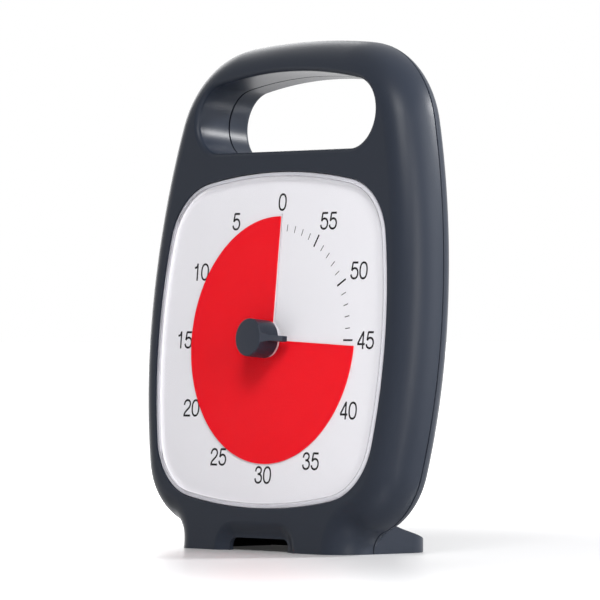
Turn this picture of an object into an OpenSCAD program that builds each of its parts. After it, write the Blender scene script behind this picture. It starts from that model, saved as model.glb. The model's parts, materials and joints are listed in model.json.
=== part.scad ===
// Visual countdown timer: a leaning case with a carrying handle, a round
// time disc that shows the minutes left, and a setting knob at its centre.
// Millimetres. +X right, +Y to the back, +Z up. The origin is under the
// middle of the whole object, on the surface that it stands on.
// The case, dial and movement are drawn in the dial's own frame, with the
// dial centre at zero and the dial face in the plane y = 0, and are then
// leaned back and set on the surface.

/* [Case outline] */
// Half width of the case where it is widest
case_half_w = 72.3; // [66:0.1:80]
// Height of the widest place above the dial centre
case_wide_z = 2.4; // [-4:0.1:8]
// Height of the case top above the dial centre
case_top = 106.1; // [100:0.1:115]
// Radius of the curved top of the handle
case_top_r = 299; // [200:1:500]
// Radius of the shoulders at both ends of the handle
case_shoulder_r = 38; // [28:0.5:42]
// Radius of the sides above the widest place
case_side_r = 268; // [200:1:400]
// Radius of the sides below the widest place
case_low_side_r = 220; // [140:1:300]
// Radius of the lower corners
case_low_corner_r = 26.8; // [21:0.1:30]
// Depth of the lower corners below the dial centre
case_low = 66.2; // [64:0.1:70]
// Half width of the foot
foot_half_w = 45.4; // [42:0.1:50]
// Radius of the hollow between a lower corner and the foot
foot_fillet_r = 6.9; // [5:0.1:9]
// Height of the lower corners above the surface
foot_rise = 7; // [6:0.1:9]
// Lean of the dial from upright, in degrees
lean = 5.2; // [0:0.1:8]
// Wall thickness of the case
wall = 2.2; // [1.8:0.1:2.6]

/* [Case section] */
// Front face of the case, ahead of the dial face
front_out = 1.9; // [1.7:0.1:2.5]
// How far the front edge's rounding reaches in from the side
front_edge_in = 10.7; // [8:0.1:13]
// How far the front edge's rounding reaches back
front_edge_deep = 14.8; // [13:0.1:16]
// How far the rear edge's rounding reaches in from the side
rear_edge_in = 18; // [12:0.1:20]
// How far the rear edge's rounding reaches back
rear_edge_deep = 9.9; // [9:0.1:12]
// Parting line behind the dial face
seam_y = 13.2; // [13.1:0.1:16]
// Width of the groove along the parting line
seam_gap = 0.4; // [0.2:0.05:0.5]
// Depth of that groove
seam_deep = 0.9; // [0.5:0.1:1]

/* [Handle and window] */
// Half width of the hand hole
hole_half_w = 46.9; // [44:0.1:49]
// Thickness of the handle over the hand hole
handle_h = 12.2; // [10:0.1:15]
// Height of the hand hole
hole_h = 27.8; // [24:0.1:30]
// Radius of the hand hole's arched top
hole_top_r = 190; // [150:1:300]
// Radius of the hand hole's corners
hole_corner_r = 12.3; // [8:0.1:13]
// Rounding of the hand hole's edges
hole_edge = 1.8; // [1:0.1:2]
// Width of the case beside the window
side_border = 11.8; // [10:0.1:14]
// Width of the case below the window
low_border = 7.4; // [6:0.1:10]
// Radius of the window's bowed sides
window_side_r = 200; // [150:1:250]
// Radius of the window's bowed top and bottom
window_top_r = 214; // [170:1:260]
// Radius of the window's corners
window_corner_r = 24; // [18:0.5:28]

/* [Foot] */
// Back of the foot behind the dial centre
foot_back = 35.5; // [32:0.1:40]
// Radius of the foot's rear corners
foot_corner_r = 10.5; // [5:0.5:12]
// Height of the foot where it leaves the back of the case
foot_high = 8.6; // [7.5:0.1:10]
// Height of the foot at its rear edge
foot_low = 5.8; // [5.4:0.1:7]
// Half width of the arch in the front of the foot
arch_half_w = 15.5; // [12:0.5:24]
// How far the arch flares out at the front face
arch_flare = 4.5; // [2:0.1:6]
// Depth over which the arch flares
arch_deep = 6; // [4:0.1:8]
// Height of the hollow under the foot
under_h = 4.5; // [3:0.1:4.6]
// Half width of the hollow under the foot
under_half_w = 36; // [28:0.5:38]
// Height of the opening at the back of that hollow
under_back_h = 2; // [1:0.1:3]

/* [Dial and disc] */
// Thickness of the lens
lens_t = 1.2; // [1:0.1:1.4]
// Gap between the lens and the window's edge
lens_gap = 0.2; // [0.1:0.05:0.4]
// Width of the bevel round the lens
lens_bevel = 1.3; // [0.8:0.1:1.6]
// Radius of the clear collar round the spindle
collar_r = 6.3; // [5:0.1:6.5]
// How far the collar stands ahead of the lens
collar_out = 0.8; // [0.5:0.1:0.9]
// Thickness of the dial tray
tray_t = 2; // [1.6:0.1:2.2]
// Width of the sloping wall round the dial
tray_slope = 2; // [1.2:0.1:3]
// Reach of the tray's flange behind the window's edge
tray_flange = 2.2; // [1.5:0.1:2.4]
// Radius of the time disc
disc_r = 43.2; // [40:0.1:43.5]
// Thickness of the time disc's sheet
disc_t = 0.25; // [0.2:0.05:0.35]
// Minutes that the disc shows
minutes = 44.55; // [30:0.05:58]
// Width of the slit that the disc passes through
slit_w = 0.8; // [0.6:0.05:1.2]

/* [Knob] */
// Radius of the knob
knob_r = 6.6; // [6:0.1:8]
// Front of the knob ahead of the dial face
knob_out = 11.3; // [10.5:0.1:14]
// Reach of the pointer from the spindle's axis
pointer_reach = 11.3; // [10:0.1:14]
// Thickness of the pointer
pointer_t = 1.9; // [1.5:0.1:2.5]
// Rounding of the knob's front edge
knob_edge = 0.5; // [0.3:0.1:1]

/* [Movement] */
// Pressure angle of the gear teeth, in degrees
pressure = 25; // [23:0.5:26]
// Play taken off each tooth's thickness
tooth_play = 0.05; // [0.04:0.005:0.06]
// Module of the spindle's and the third wheel's teeth
big_module = 0.4; // [0.38:0.005:0.41]
// Module of the second and the first wheel's teeth
small_module = 0.3; // [0.28:0.005:0.305]
// Thickness of the gear wheels
wheel_t = 0.9; // [0.7:0.05:1]
// Radius of the spindle
spindle_r = 2.5; // [2:0.1:2.6]

/* [Battery and sound] */
// Diameter of the battery
battery_d = 14.5; // [13.5:0.1:14.5]
// Length of the battery with its pip
battery_len = 50.5; // [49:0.1:51]
// Half width of the battery door
door_half_w = 40; // [39:0.1:41]
// Height of the battery door
door_h = 22; // [20:0.1:22]
// Thickness of the battery door
door_t = 2; // [1.6:0.1:2.2]
// Gap round the battery door
door_gap = 0.25; // [0.15:0.05:0.4]
// Radius of the volume dial
volume_r = 11.4; // [9:0.1:12]
// Radius of the speaker
speaker_r = 11.5; // [9:0.1:12]
// Thickness of the speaker
speaker_t = 5.2; // [4:0.1:6]

/* [Hidden] */
$fn = 48;

// How finely the arcs of the outlines are divided
top_steps = 5;
shoulder_steps = 7;
side_steps = 5;
low_steps = 4;
corner_steps = 7;
fillet_steps = 4;
edge_steps = 6;
window_steps = 6;
hole_steps = 6;

// Colours
slate = [0.20, 0.22, 0.245];
charcoal = [0.15, 0.165, 0.185];
white = [0.90, 0.90, 0.92];
red = [0.88, 0.10, 0.16];
clear = [0.85, 0.90, 0.95, 0.35];
steel = [0.72, 0.73, 0.75];
brass = [0.80, 0.66, 0.32];
ivory = [0.88, 0.86, 0.78];
copper = [0.72, 0.38, 0.20];
board_green = [0.08, 0.35, 0.20];
black = [0.07, 0.07, 0.08];

// Places that follow from the sizes above
dial_height = case_low + foot_rise;
window_half_w = case_half_w - side_border;
window_half_h = case_low - low_border;
hole_top = case_top - handle_h;
hole_bottom = hole_top - hole_h;

// Planes in the dial frame
case_front = -front_out;
case_wide_y = case_front + front_edge_deep;
case_back = case_wide_y + rear_edge_deep;
front_inside = case_front + wall;
back_inside = case_back - wall;
lens_back = case_front + lens_t;
disc_gap = 0.2;
disc_front = -disc_gap - disc_t;
disc_back = tray_t + disc_gap + 0.1;
slip = 0.3;
contact = 0.05;

// Places of the fixings, [x, z] in the dial frame
shoulder_screw = [case_half_w - 17, hole_bottom + 3.9];
corner_screw = [case_half_w - 24.9, 7.8 - case_low];
case_screw_at = [shoulder_screw, opposite(shoulder_screw), [0, case_top - handle_h / 2],
                 corner_screw, opposite(corner_screw)];
upper_tray_screw = [window_half_w - 5.9, window_half_h - 9.8];
lower_tray_screw = [window_half_w / 2, -window_half_h - 2.9];
tray_screw_at = [upper_tray_screw, opposite(upper_tray_screw),
                 lower_tray_screw, opposite(lower_tray_screw)];
post_at = [[37, 37], [-37, 37], [37, -37], [-37, -37]];
board_low = hole_bottom - 26.1;
board_post_at = [for (z = [board_low + 13, board_low + 4.5]) for (x = [33, -33]) [x, z]];
function opposite(p) = [-p.x, p.y];

// Self-tapping screws
screw_r = 1.4;
screw_hole_r = 1.5;
screw_head_r = 2.8;
screw_head_t = 2;
boss_r = 3.2;
tray_boss_r = 2.5;
tube_r = 4.4;
boss_end = 9;
screw_seat = 15;
small_screw_r = 0.9;
small_hole_r = 1;

// Origin: the middle of the whole object, from the knob to the foot
knob_front_y = (knob_out - knob_edge) * cos(lean) + (knob_r - knob_edge) * sin(lean) + knob_edge;
dial_y = (knob_front_y - foot_back) / 2;

// Case outline: centres of the tangent arcs of its right-hand half
top_c = [0, case_top - case_top_r];
side_c = [case_half_w - case_side_r, case_wide_z];
low_side_c = [case_half_w - case_low_side_r, case_wide_z];
shoulder_c = meet(top_c, case_top_r - case_shoulder_r, side_c, case_side_r - case_shoulder_r);
corner_z = case_low_corner_r - case_low;
corner_c = [low_side_c.x + sqrt(pow(case_low_side_r - case_low_corner_r, 2)
                                - pow(corner_z - case_wide_z, 2)), corner_z];
fillet_x = foot_half_w + foot_fillet_r;
fillet_c = [fillet_x, corner_z - sqrt(pow(case_low_corner_r + foot_fillet_r, 2)
                                      - pow(fillet_x - corner_c.x, 2))];

// Window outline: centres of the arcs of its upper right-hand quarter
window_side_c = [window_half_w - window_side_r, 0];
window_top_c = [0, window_half_h - window_top_r];
window_corner_c = meet(window_top_c, window_top_r - window_corner_r,
                       window_side_c, window_side_r - window_corner_r);

// Hand hole: centres of the arcs of its right-hand half
hole_top_c = [0, hole_top - hole_top_r];
hole_corner_x = hole_half_w - hole_corner_r;
hole_corner_c = [hole_corner_x, hole_top_c.y + sqrt(pow(hole_top_r - hole_corner_r, 2)
                                                    - pow(hole_corner_x, 2))];
hole_low_r = min(hole_corner_r, hole_corner_c.y - hole_bottom);
hole_low_c = [hole_half_w - hole_low_r, hole_bottom + hole_low_r];

// The upper right of the two points at given distances from two centres
function meet(a, ra, b, rb) =
    let (d = norm(b - a), along = (ra * ra - rb * rb + d * d) / (2 * d),
         side = sqrt(ra * ra - along * along), u = (b - a) / d,
         p = a + along * u, q = side * [-u.y, u.x])
    (p + q).y > (p - q).y ? p + q : p - q;
function heading(a, b) = atan2(b.y - a.y, b.x - a.x);
function arc(c, r, a0, a1, n) =
    [for (i = [0:n]) let (a = a0 + (a1 - a0) * i / n) c + r * [cos(a), sin(a)]];
function tail(list) = [for (i = [1:len(list) - 1]) list[i]];
function mirrored(half) =
    [for (i = [len(half) - 1:-1:0]) if (half[i].x > 0.001) [-half[i].x, half[i].y]];
function closed(half) = concat(half, mirrored(half));

// Height, in the dial frame, at depth y of a level above the surface
function level(y, h) = (h - dial_height + y * sin(lean)) / cos(lean);

// The case outline, moved in by d, down to a level above the surface at depth y
function case_loop(d, y, h) =
    let (to_shoulder = heading(top_c, shoulder_c), to_side = heading(side_c, shoulder_c),
         to_corner = heading(low_side_c, corner_c), to_fillet = heading(corner_c, fillet_c),
         low = level(y, h), fillet_r = foot_fillet_r + d, fillet_end = above_fillet(low + 1))
    closed(concat(arc(top_c, case_top_r - d, 90, to_shoulder, top_steps),
        tail(arc(shoulder_c, case_shoulder_r - d, to_shoulder, to_side, shoulder_steps)),
        tail(arc(side_c, case_side_r - d, to_side, 0, side_steps)),
        tail(arc(low_side_c, case_low_side_r - d, 0, to_corner, low_steps)),
        tail(arc(corner_c, case_low_corner_r - d, to_corner, to_fillet, corner_steps)),
        tail(arc(fillet_c, fillet_r, to_fillet + 180, 180 - asin(fillet_end / fillet_r),
            fillet_steps)),
        [[fillet_x - sqrt(pow(fillet_r, 2) - pow(above_fillet(low), 2)), low]]));
// How far a height lies above the lower end of the foot's fillet
function above_fillet(z) = max(0, z - fillet_c.y);

// The window outline, moved out by d
function window_loop(d) =
    let (to_corner = heading(window_top_c, window_corner_c),
         to_side = heading(window_side_c, window_corner_c),
         quarter = concat(arc(window_top_c, window_top_r + d, 90, to_corner, window_steps),
             tail(arc(window_corner_c, window_corner_r + d, to_corner, to_side, window_steps)),
             tail(arc(window_side_c, window_side_r + d, to_side, 0, window_steps))),
         lower = [for (i = [len(quarter) - 2:-1:0]) [quarter[i].x, -quarter[i].y]])
    closed(concat(quarter, lower));

// The hand hole's outline, moved out by d
function hole_loop(d) =
    let (to_corner = heading(hole_top_c, hole_corner_c))
    closed(concat(arc(hole_top_c, hole_top_r + d, 90, to_corner, hole_steps),
        tail(arc(hole_corner_c, hole_corner_r + d, to_corner, 0, hole_steps)),
        tail(arc(hole_low_c, hole_low_r + d, 0, -90, hole_steps))));

// A closed solid through loops of as many points each, at their depths
module loft(loops, depths) {
    n = len(loops[0]);
    last = len(loops) - 1;
    points = [for (k = [0:last]) for (p = loops[k]) [p.x, depths[k], p.y]];
    sides = [for (k = [0:last - 1]) for (i = [0:n - 1]) let (j = (i + 1) % n)
             each [[k * n + i, (k + 1) * n + j, k * n + j],
                   [k * n + i, (k + 1) * n + i, (k + 1) * n + j]]];
    front = [for (i = [0:n - 1]) i];
    back = [for (i = [n - 1:-1:0]) last * n + i];
    polyhedron(points, concat([front], sides, [back]));
}

// Sections of the case as [inset, depth] pairs, and the inset at a depth
function edge_inset(y, reach, deep) = reach * (1 - sqrt(1 - pow((y - case_wide_y) / deep, 2)));
function front_section() =
    [for (i = [0:edge_steps]) let (a = 90 * i / edge_steps)
     [front_edge_in * (1 - sin(a)), case_wide_y - front_edge_deep * cos(a)]];
function rear_section(y0) =
    let (a0 = asin((y0 - case_wide_y) / rear_edge_deep))
    [for (i = [0:edge_steps]) let (a = a0 + (90 - a0) * i / edge_steps)
     [rear_edge_in * (1 - cos(a)), case_wide_y + rear_edge_deep * sin(a)]];
function hollow_section(from, to, reach, deep) =
    [for (i = [0:3]) let (a = from + (to - from) * i / 3)
     [wall + (reach - wall) * (1 - cos(a)), case_wide_y + (deep - wall) * sin(a)]];
seam_inset = edge_inset(seam_y, rear_edge_in, rear_edge_deep);
seam_front = seam_y - seam_gap / 2;
seam_back = seam_y + seam_gap / 2;
groove_draft = 0.03;
// How far the hollow's front plane lies in from the side
hollow_front_in = wall + 0.65 * front_edge_in;

module case_solid(section, h) {
    loft([for (s = section) case_loop(s[0], s[1], h)], [for (s = section) s[1]]);
}

// From the dial frame to the object's frame
module placed() { translate([0, dial_y, dial_height]) rotate([-lean, 0, 0]) children(); }
// A flat outline, in x and z, from depth y0 to y1
module plate(y0, y1) { translate([0, y1, 0]) rotate([90, 0, 0]) linear_extrude(y1 - y0) children(); }
// A round bar along the depth
module rod(at, r, y0, y1) {
    translate([at.x, y1, at.y]) rotate([90, 0, 0]) cylinder(r = r, h = y1 - y0);
}
module rods(places, r, y0, y1) { for (at = places) rod(at, r, y0, y1); }
module rounded(half_w, half_h, r) {
    square([2 * half_w, 2 * (half_h - r)], center = true);
    square([2 * (half_w - r), 2 * half_h], center = true);
    for (x = [-1, 1], z = [-1, 1]) translate([x * (half_w - r), z * (half_h - r)]) circle(r);
}
// A pan-head screw whose head's underside is at depth y
module screw(at, y, r, length, head_r, head_t) {
    translate([at.x, y, at.y]) rotate([90, 0, 0]) rotate_extrude()
        polygon([[0, -head_t], [head_r * 0.7, -head_t], [head_r, -head_t * 0.45], [head_r, 0],
                 [r, 0], [r, length - r], [r * 0.3, length], [0, length]]);
}

// ---- Case ----

module hand_hole() {
    depths = [case_front - 0.1, case_front + hole_edge * 0.3, case_front + hole_edge,
              case_back - hole_edge, case_back - hole_edge * 0.3, case_back + 0.1];
    outs = [hole_edge, hole_edge * 0.3, 0, 0, hole_edge * 0.3, hole_edge];
    loft([for (d = outs) hole_loop(d)], depths);
}

// The groove along the parting line, inside the hand hole
module hole_groove() { plate(seam_front, seam_back) polygon(hole_loop(seam_deep)); }

module below_ground() { translate([-100, -100, -20]) cube([200, 200, 20]); }
// The hollow under the foot, with a flared arch through the front
module underside() {
    front_y = dial_y - dial_height * sin(lean) - front_out;
    hull() {
        translate([0, front_y - 1, 0]) arch_end(arch_half_w + arch_flare, under_h + arch_flare);
        translate([0, front_y + arch_deep, 0]) arch_end(arch_half_w, under_h);
    }
    translate([-under_half_w, front_y + 4, -1])
        cube([2 * under_half_w, dial_y + foot_back - 2.5 - front_y - 4, under_h + 1]);
    translate([-under_half_w, 0, -1]) cube([2 * under_half_w, foot_back * 2, under_back_h + 1]);
}
module arch_end(half_w, h) {
    round_r = 3;
    for (x = [-1, 1]) {
        translate([x * (half_w - round_r), 0, h - round_r]) rotate([90, 0, 0])
            cylinder(r = round_r, h = 0.02, $fn = 24);
        translate([x * half_w - 0.01, -0.02, -1]) cube([0.02, 0.02, 1]);
    }
}
// The floor that closes the case above that hollow
module under_floor() {
    translate([-under_half_w - wall, -60, -1])
        cube([2 * (under_half_w + wall), 120, under_h + wall + 1]);
}

module front_hollow() {
    difference() {
        placed() case_solid(concat(
            [for (i = [0:3]) let (a = 30 * i)
             [wall + (hollow_front_in - wall) * (1 - sin(a)),
              case_wide_y - (front_edge_deep - wall) * cos(a)]],
            [[wall + seam_inset, seam_y + 1]]), wall);
        placed() {
            plate(case_front, seam_y + 2) polygon(hole_loop(wall));
            rods(case_screw_at, boss_r, case_front, boss_end);
            rods(tray_screw_at, tray_boss_r, case_front, tray_t);
        }
        under_floor();
    }
}

module front_case() {
    color(slate) difference() {
        placed() case_solid(concat(front_section(),
            [[edge_inset(seam_front, rear_edge_in, rear_edge_deep), seam_front],
             [seam_inset + seam_deep, seam_front + groove_draft],
             [seam_inset + seam_deep, seam_y]]), -1);
        below_ground();
        front_hollow();
        placed() {
            hand_hole();
            hole_groove();
            plate(case_front - 1, front_inside + 1) polygon(window_loop(0));
            rods(case_screw_at, screw_hole_r, front_inside + 0.6, boss_end + 1);
            rods(tray_screw_at, small_hole_r, case_front + 0.7, tray_t + 1);
        }
        underside();
    }
}

// Battery bay, door seat and volume recess in the rear shell
battery_z = 19.6 - case_low;
bay_half_l = 29.5;
bay_half_h = battery_d / 2 + 0.65;
bay_wall = 1.4;
battery_y = back_inside - 1.25 - battery_d / 2;
bay_front = battery_y - battery_d / 2 - 0.5;
door_seat = case_back - door_t;
door_screw_at = [[35.6, battery_z], [-35.6, battery_z]];
door_corner_r = 4;
volume_at = [0, board_low + 7];
volume_seat = case_back - 4.4;
speaker_at = [case_half_w - 30.3, 0];
speaker_front = back_inside - 0.2 - speaker_t;
slot_step = 4;

module bay_shape(grow) {
    translate([0, battery_z]) square([2 * (bay_half_l + grow), 2 * (bay_half_h + grow)], center = true);
}
module door_shape(grow) {
    translate([0, battery_z]) rounded(door_half_w + grow, door_h / 2 + grow, door_corner_r);
}

// A round outline as a polygon of 24 sides
module ring_shape(at, r) { polygon(arc(at, r, 0, 345, 23)); }
module rear_hollow() {
    difference() {
        placed() case_solid(concat([[wall + seam_inset, seam_y - 1]],
            hollow_section(asin(4 / rear_edge_deep), 90, rear_edge_in, rear_edge_deep + 0.3)), wall);
        placed() {
            // One flat plane behind, which the hollow's rounded end crosses
            translate([-100, back_inside, -100]) cube([200, 10, 250]);
            plate(seam_y - 2, case_back) polygon(hole_loop(wall));
            rods(case_screw_at, tube_r, boss_end, case_back);
            plate(door_seat - wall, case_back) door_shape(wall);
            plate(bay_front - bay_wall, case_back) bay_shape(bay_wall);
            rods(door_screw_at, 3, battery_y, case_back);
            plate(volume_seat - wall, case_back) ring_shape(volume_at, volume_r + 0.6 + wall);
            difference() {
                plate(speaker_front, case_back) ring_shape(speaker_at, speaker_r + slip + 1.3);
                rod(speaker_at, speaker_r + slip, speaker_front - 1, back_inside);
            }
        }
        under_floor();
    }
}

// Where the foot starts behind the groove, front to back, at a height above the surface
function foot_start(h) = (seam_back + 0.3) * cos(lean) + level(seam_back + 0.3, h) * sin(lean);
module foot() {
    side = foot_half_w - seam_inset;
    slope = (foot_high - foot_low) / (foot_back - 23);
    rise = foot_high + slope * (20 - foot_start(foot_high));
    translate([0, dial_y, 0]) intersection() {
        translate([0, 0, -1]) linear_extrude(foot_high + 5) {
            translate([-side, 0]) square([2 * side, foot_back - foot_corner_r]);
            translate([-side + foot_corner_r, 0]) square([2 * (side - foot_corner_r), foot_back]);
            for (x = [-1, 1])
                translate([x * (side - foot_corner_r), foot_back - foot_corner_r])
                    circle(foot_corner_r);
        }
        rotate([90, 0, 90]) translate([0, 0, -foot_half_w - 1]) linear_extrude(2 * foot_half_w + 2)
            polygon(concat([[foot_start(-1), -1], [foot_back - 1, -1], [foot_back - 1, 0], [foot_back, 1]],
                arc([foot_back - 2, foot_low - 2.2], 2, 0, 77, 5),
                [[20, foot_high], [foot_start(rise), rise]]));
    }
}

module rear_case() {
    color(slate) {
        difference() {
            union() {
                difference() {
                    placed() case_solid(concat(
                        [[seam_inset + seam_deep, seam_y],
                         [seam_inset + seam_deep, seam_back - groove_draft]],
                        rear_section(seam_back)), -1);
                    rear_hollow();
                }
                placed() {
                    rods(case_screw_at, boss_r, boss_end + contact, seam_y + 2);
                    plate(bay_front - bay_wall, seam_y + 2) bay_shape(bay_wall);
                    rods(door_screw_at, 3, battery_y, seam_y + 2);
                }
                foot();
            }
            placed() {
                hand_hole();
                hole_groove();
                rods(case_screw_at, screw_hole_r + 0.1, boss_end - 1, screw_seat + 1);
                rods(case_screw_at, screw_head_r + 0.4, screw_seat, case_back + 1);
                plate(door_seat, case_back + 1) door_shape(0);
                plate(bay_front, case_back + 1) bay_shape(0);
                rods(door_screw_at, screw_hole_r, battery_y + 1, case_back + 1);
                rod(volume_at, volume_r + 0.6, volume_seat, case_back + 1);
                rod(volume_at, 3, volume_seat - wall - 1, case_back);
                for (i = [-2:2]) let (x = i * slot_step, half = sqrt(64 - x * x) - 1)
                    plate(back_inside - 1, case_back + 1)
                        translate([speaker_at.x + x, speaker_at.y]) {
                            square([1.6, 2 * half], center = true);
                            for (s = [-1, 1]) translate([0, s * half]) circle(0.8);
                        }
            }
            underside();
            below_ground();
        }
    }
}

module case_screws() {
    color(steel) placed() for (at = case_screw_at)
        screw(at, screw_seat, screw_r, screw_seat - front_inside - 1.5, screw_head_r, screw_head_t);
}

// ---- Dial ----

// A clear window plate with a bevelled rim, and a collar round the spindle
module lens() {
    color(clear) placed() difference() {
        union() {
            loft([window_loop(-lens_gap - lens_bevel), window_loop(-lens_gap), window_loop(-lens_gap)],
                 [case_front, case_front + lens_t / 2, lens_back]);
            rod([0, 0], collar_r, case_front - collar_out, case_front + 0.1);
        }
        rod([0, 0], spindle_r + 0.5, case_front - 2, lens_back + 1);
    }
}

// The white dial: a shallow dish that carries the lens on its rim, with the
// slit at 12 o'clock and the posts for the movement and the board behind
module dial_tray() {
    color(white) placed() difference() {
        union() {
            plate(front_inside, tray_t) intersection() {
                polygon(window_loop(tray_flange));
                polygon(case_loop(hollow_front_in + slip, 0, 0));
            }
            plate(lens_back, tray_t) polygon(window_loop(-lens_gap));
            rods(post_at, 3, tray_t - 0.5, post_end);
            rods(board_post_at, 2.5, tray_t - 0.5, board_front);
        }
        loft([window_loop(-1.5), window_loop(-1.5 - tray_slope), window_loop(-1.5 - tray_slope)],
             [lens_back - 0.02, 0 - 0.001, 0]);
        plate(-1, tray_t + 1) slit_shape();
        rods(tray_screw_at, tray_boss_r + slip, front_inside - 1, tray_t + 1);
        rod([0, 0], spindle_r + 0.7, -1, tray_t + 1);
        rods(post_at, small_hole_r, 0.7, post_end + 1);
        rods(board_post_at, small_hole_r, 3, board_front + 1);
    }
}
module slit_shape() {
    translate([sheet_x - (slit_w - disc_t) / 2, spindle_r + 0.9])
        square([slit_w, disc_r + 1 - spindle_r - 0.9]);
}

module tray_screws() {
    color(steel) placed() for (at = tray_screw_at)
        screw(at, tray_t, small_screw_r, 2.6, 3.4, 1);
}

// The red sheet: one turn with a radial cut. What shows lies ahead of the
// dial; the rest has passed through the slit and lies behind it.
sheet_x = 0.5;
disc_hole_r = spindle_r + 0.2;
edge_angle = 90 + minutes * 6;
module ring_sheet(y0) {
    plate(y0, y0 + disc_t) difference() {
        intersection() { circle(disc_r, $fn = 120); children(); }
        circle(disc_hole_r);
    }
}
// The quarter or so of a turn between the disc's edge and the slit
module white_part(x0) {
    far = 2 * disc_r;
    polygon([[x0, 0], [x0, far], [far, far], far * [cos(edge_angle), sin(edge_angle)], [0, 0]]);
}
module time_disc() {
    color(red) placed() {
        ring_sheet(disc_front) difference() {
            square(3 * disc_r, center = true);
            white_part(sheet_x + disc_t);
        }
        ring_sheet(disc_back) white_part(sheet_x);
        plate(disc_front, disc_back + disc_t)
            translate([sheet_x, spindle_r + 1.1]) square([disc_t, disc_r - spindle_r - 1.1]);
    }
}

// ---- Knob and spindle ----

knob_back = case_front - collar_out - 0.2;
knob_bore_deep = 6.8;
pointer_turn = edge_angle + 3;
module knob() {
    front = -knob_out;
    waist = pointer_t / 2;
    color(charcoal) placed() difference() {
        union() {
            translate([0, knob_back, 0]) rotate([90, 0, 0]) rotate_extrude()
                polygon(concat([[0, 0], [knob_r, 0]],
                    arc([knob_r - knob_edge, knob_back - front - knob_edge], knob_edge, 0, 90, 4),
                    [[0, knob_back - front]]));
            // Sloping pointer, from the front face down to its round tip. It
            // widens where it meets the front face.
            rotate([0, -pointer_turn, 0]) intersection() {
                translate([0, 0, -2]) linear_extrude(4)
                    polygon(concat([[1, front + 0.1], [knob_r - 0.4, front + 0.1]],
                        arc([pointer_reach - 1.6, knob_back - 1.6], 1.6, -35, 0, 3),
                        [[pointer_reach, knob_back - 0.1], [1, knob_back - 0.1]]));
                rotate([90, 0, 90]) linear_extrude(pointer_reach + 1)
                    polygon([[front, -2 * waist], [front + 2.8, -waist], [knob_back, -waist],
                             [knob_back, waist], [front + 2.8, waist], [front, 2 * waist]]);
            }
        }
        rod([0, 0], spindle_r + contact, knob_back - knob_bore_deep, knob_back + 1);
    }
}

// Spindle: front part in the knob, shoulder behind the dial, wheel seat with
// a groove for the clip, and rear pivot
seat_r = spindle_r - 0.3;
pivot_r = 1;
shoulder_r = 4.2;
module spindle() {
    groove_r = seat_r - 0.5;
    color(steel) placed() translate([0, back_plate, 0]) rotate([90, 0, 0]) rotate_extrude()
        polygon(turned([[pivot_r, 0.3], [pivot_r, back_plate - seat_end], [seat_r, back_plate - seat_end],
            [seat_r, back_plate - clip_y - clip_t], [groove_r, back_plate - clip_y - clip_t],
            [groove_r, back_plate - clip_y], [seat_r, back_plate - clip_y],
            [seat_r, back_plate - layer[0] + contact], [spindle_r, back_plate - layer[0] + contact],
            [spindle_r, back_plate - shoulder_end], [shoulder_r, back_plate - shoulder_end],
            [shoulder_r, back_plate - disc_back - disc_t - slip],
            [spindle_r, back_plate - disc_back - disc_t - slip],
            [spindle_r, back_plate - knob_back + knob_bore_deep - 0.3]]));
}
// An outline from its outer points, closed along the axis
function turned(points) =
    concat([[0, points[0].y]], points, [[0, points[len(points) - 1].y]]);

// ---- Gear train ----

// Depths of the movement's plates and of the wheels between them
post_end = 4;
bracket_t = 1.4;
front_plate = post_end + bracket_t;
front_plate_t = 1.2;
layer = [7.5, 9.4, 11.1, 12.8];
shoulder_end = post_end - 0.2;
clutch_t = 0.3;
clutch_y = layer[0] + wheel_t + contact;
clip_y = clutch_y + clutch_t + contact;
clip_t = 0.3;
seat_end = clip_y + clip_t + 0.15;
back_plate = 17;
back_plate_t = 1.2;

// Teeth
spindle_teeth = 64;
third_teeth = 60;
second_teeth = 60;
first_teeth = 40;
small_pinion = 8;
rotor_pinion = 10;

// Places of the arbors, each from the one before
third_angle = 130;
second_angle = 10;
first_angle = -20;
rotor_angle = -80;
function apart(m, a, b) = m * (a + b) / 2;
function from(at, far, a) = at + far * [cos(a), sin(a)];
third_at = from([0, 0], apart(big_module, spindle_teeth, small_pinion), third_angle);
second_at = from(third_at, apart(big_module, third_teeth, small_pinion), second_angle);
first_at = from(second_at, apart(small_module, second_teeth, small_pinion), first_angle);
rotor_at = from(first_at, apart(small_module, first_teeth, rotor_pinion), rotor_angle);

function inv(a) = tan(a) * 180 / PI - a;
// Gear outline with involute flanks, its first tooth at angle turn
function gear(m, teeth, turn) =
    let (r = m * teeth / 2, base = r * cos(pressure), tip = r + 0.7 * m, root = r - 0.95 * m,
         half = 90 / teeth - tooth_play / 2 / r * 180 / PI)
    [for (i = [0:teeth - 1]) let (c = turn + 360 * i / teeth)
     each concat([for (p = [root, r, tip]) p * at_angle(c - flank(p, half, base))],
                 [for (p = [tip, r, root]) p * at_angle(c + flank(p, half, base))])];
function at_angle(a) = [cos(a), sin(a)];
// Half of a tooth's angle at radius p
function flank(p, half, base) =
    half + inv(pressure) - (p > base ? inv(acos(base / p)) : 0);
// Turn of a pinion that meshes, in direction a, with a wheel whose first tooth is at zero
function mesh_turn(a, wheel, pinion) = a + 180 - 360 / pinion * (0.5 - a * wheel / 360);

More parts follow.
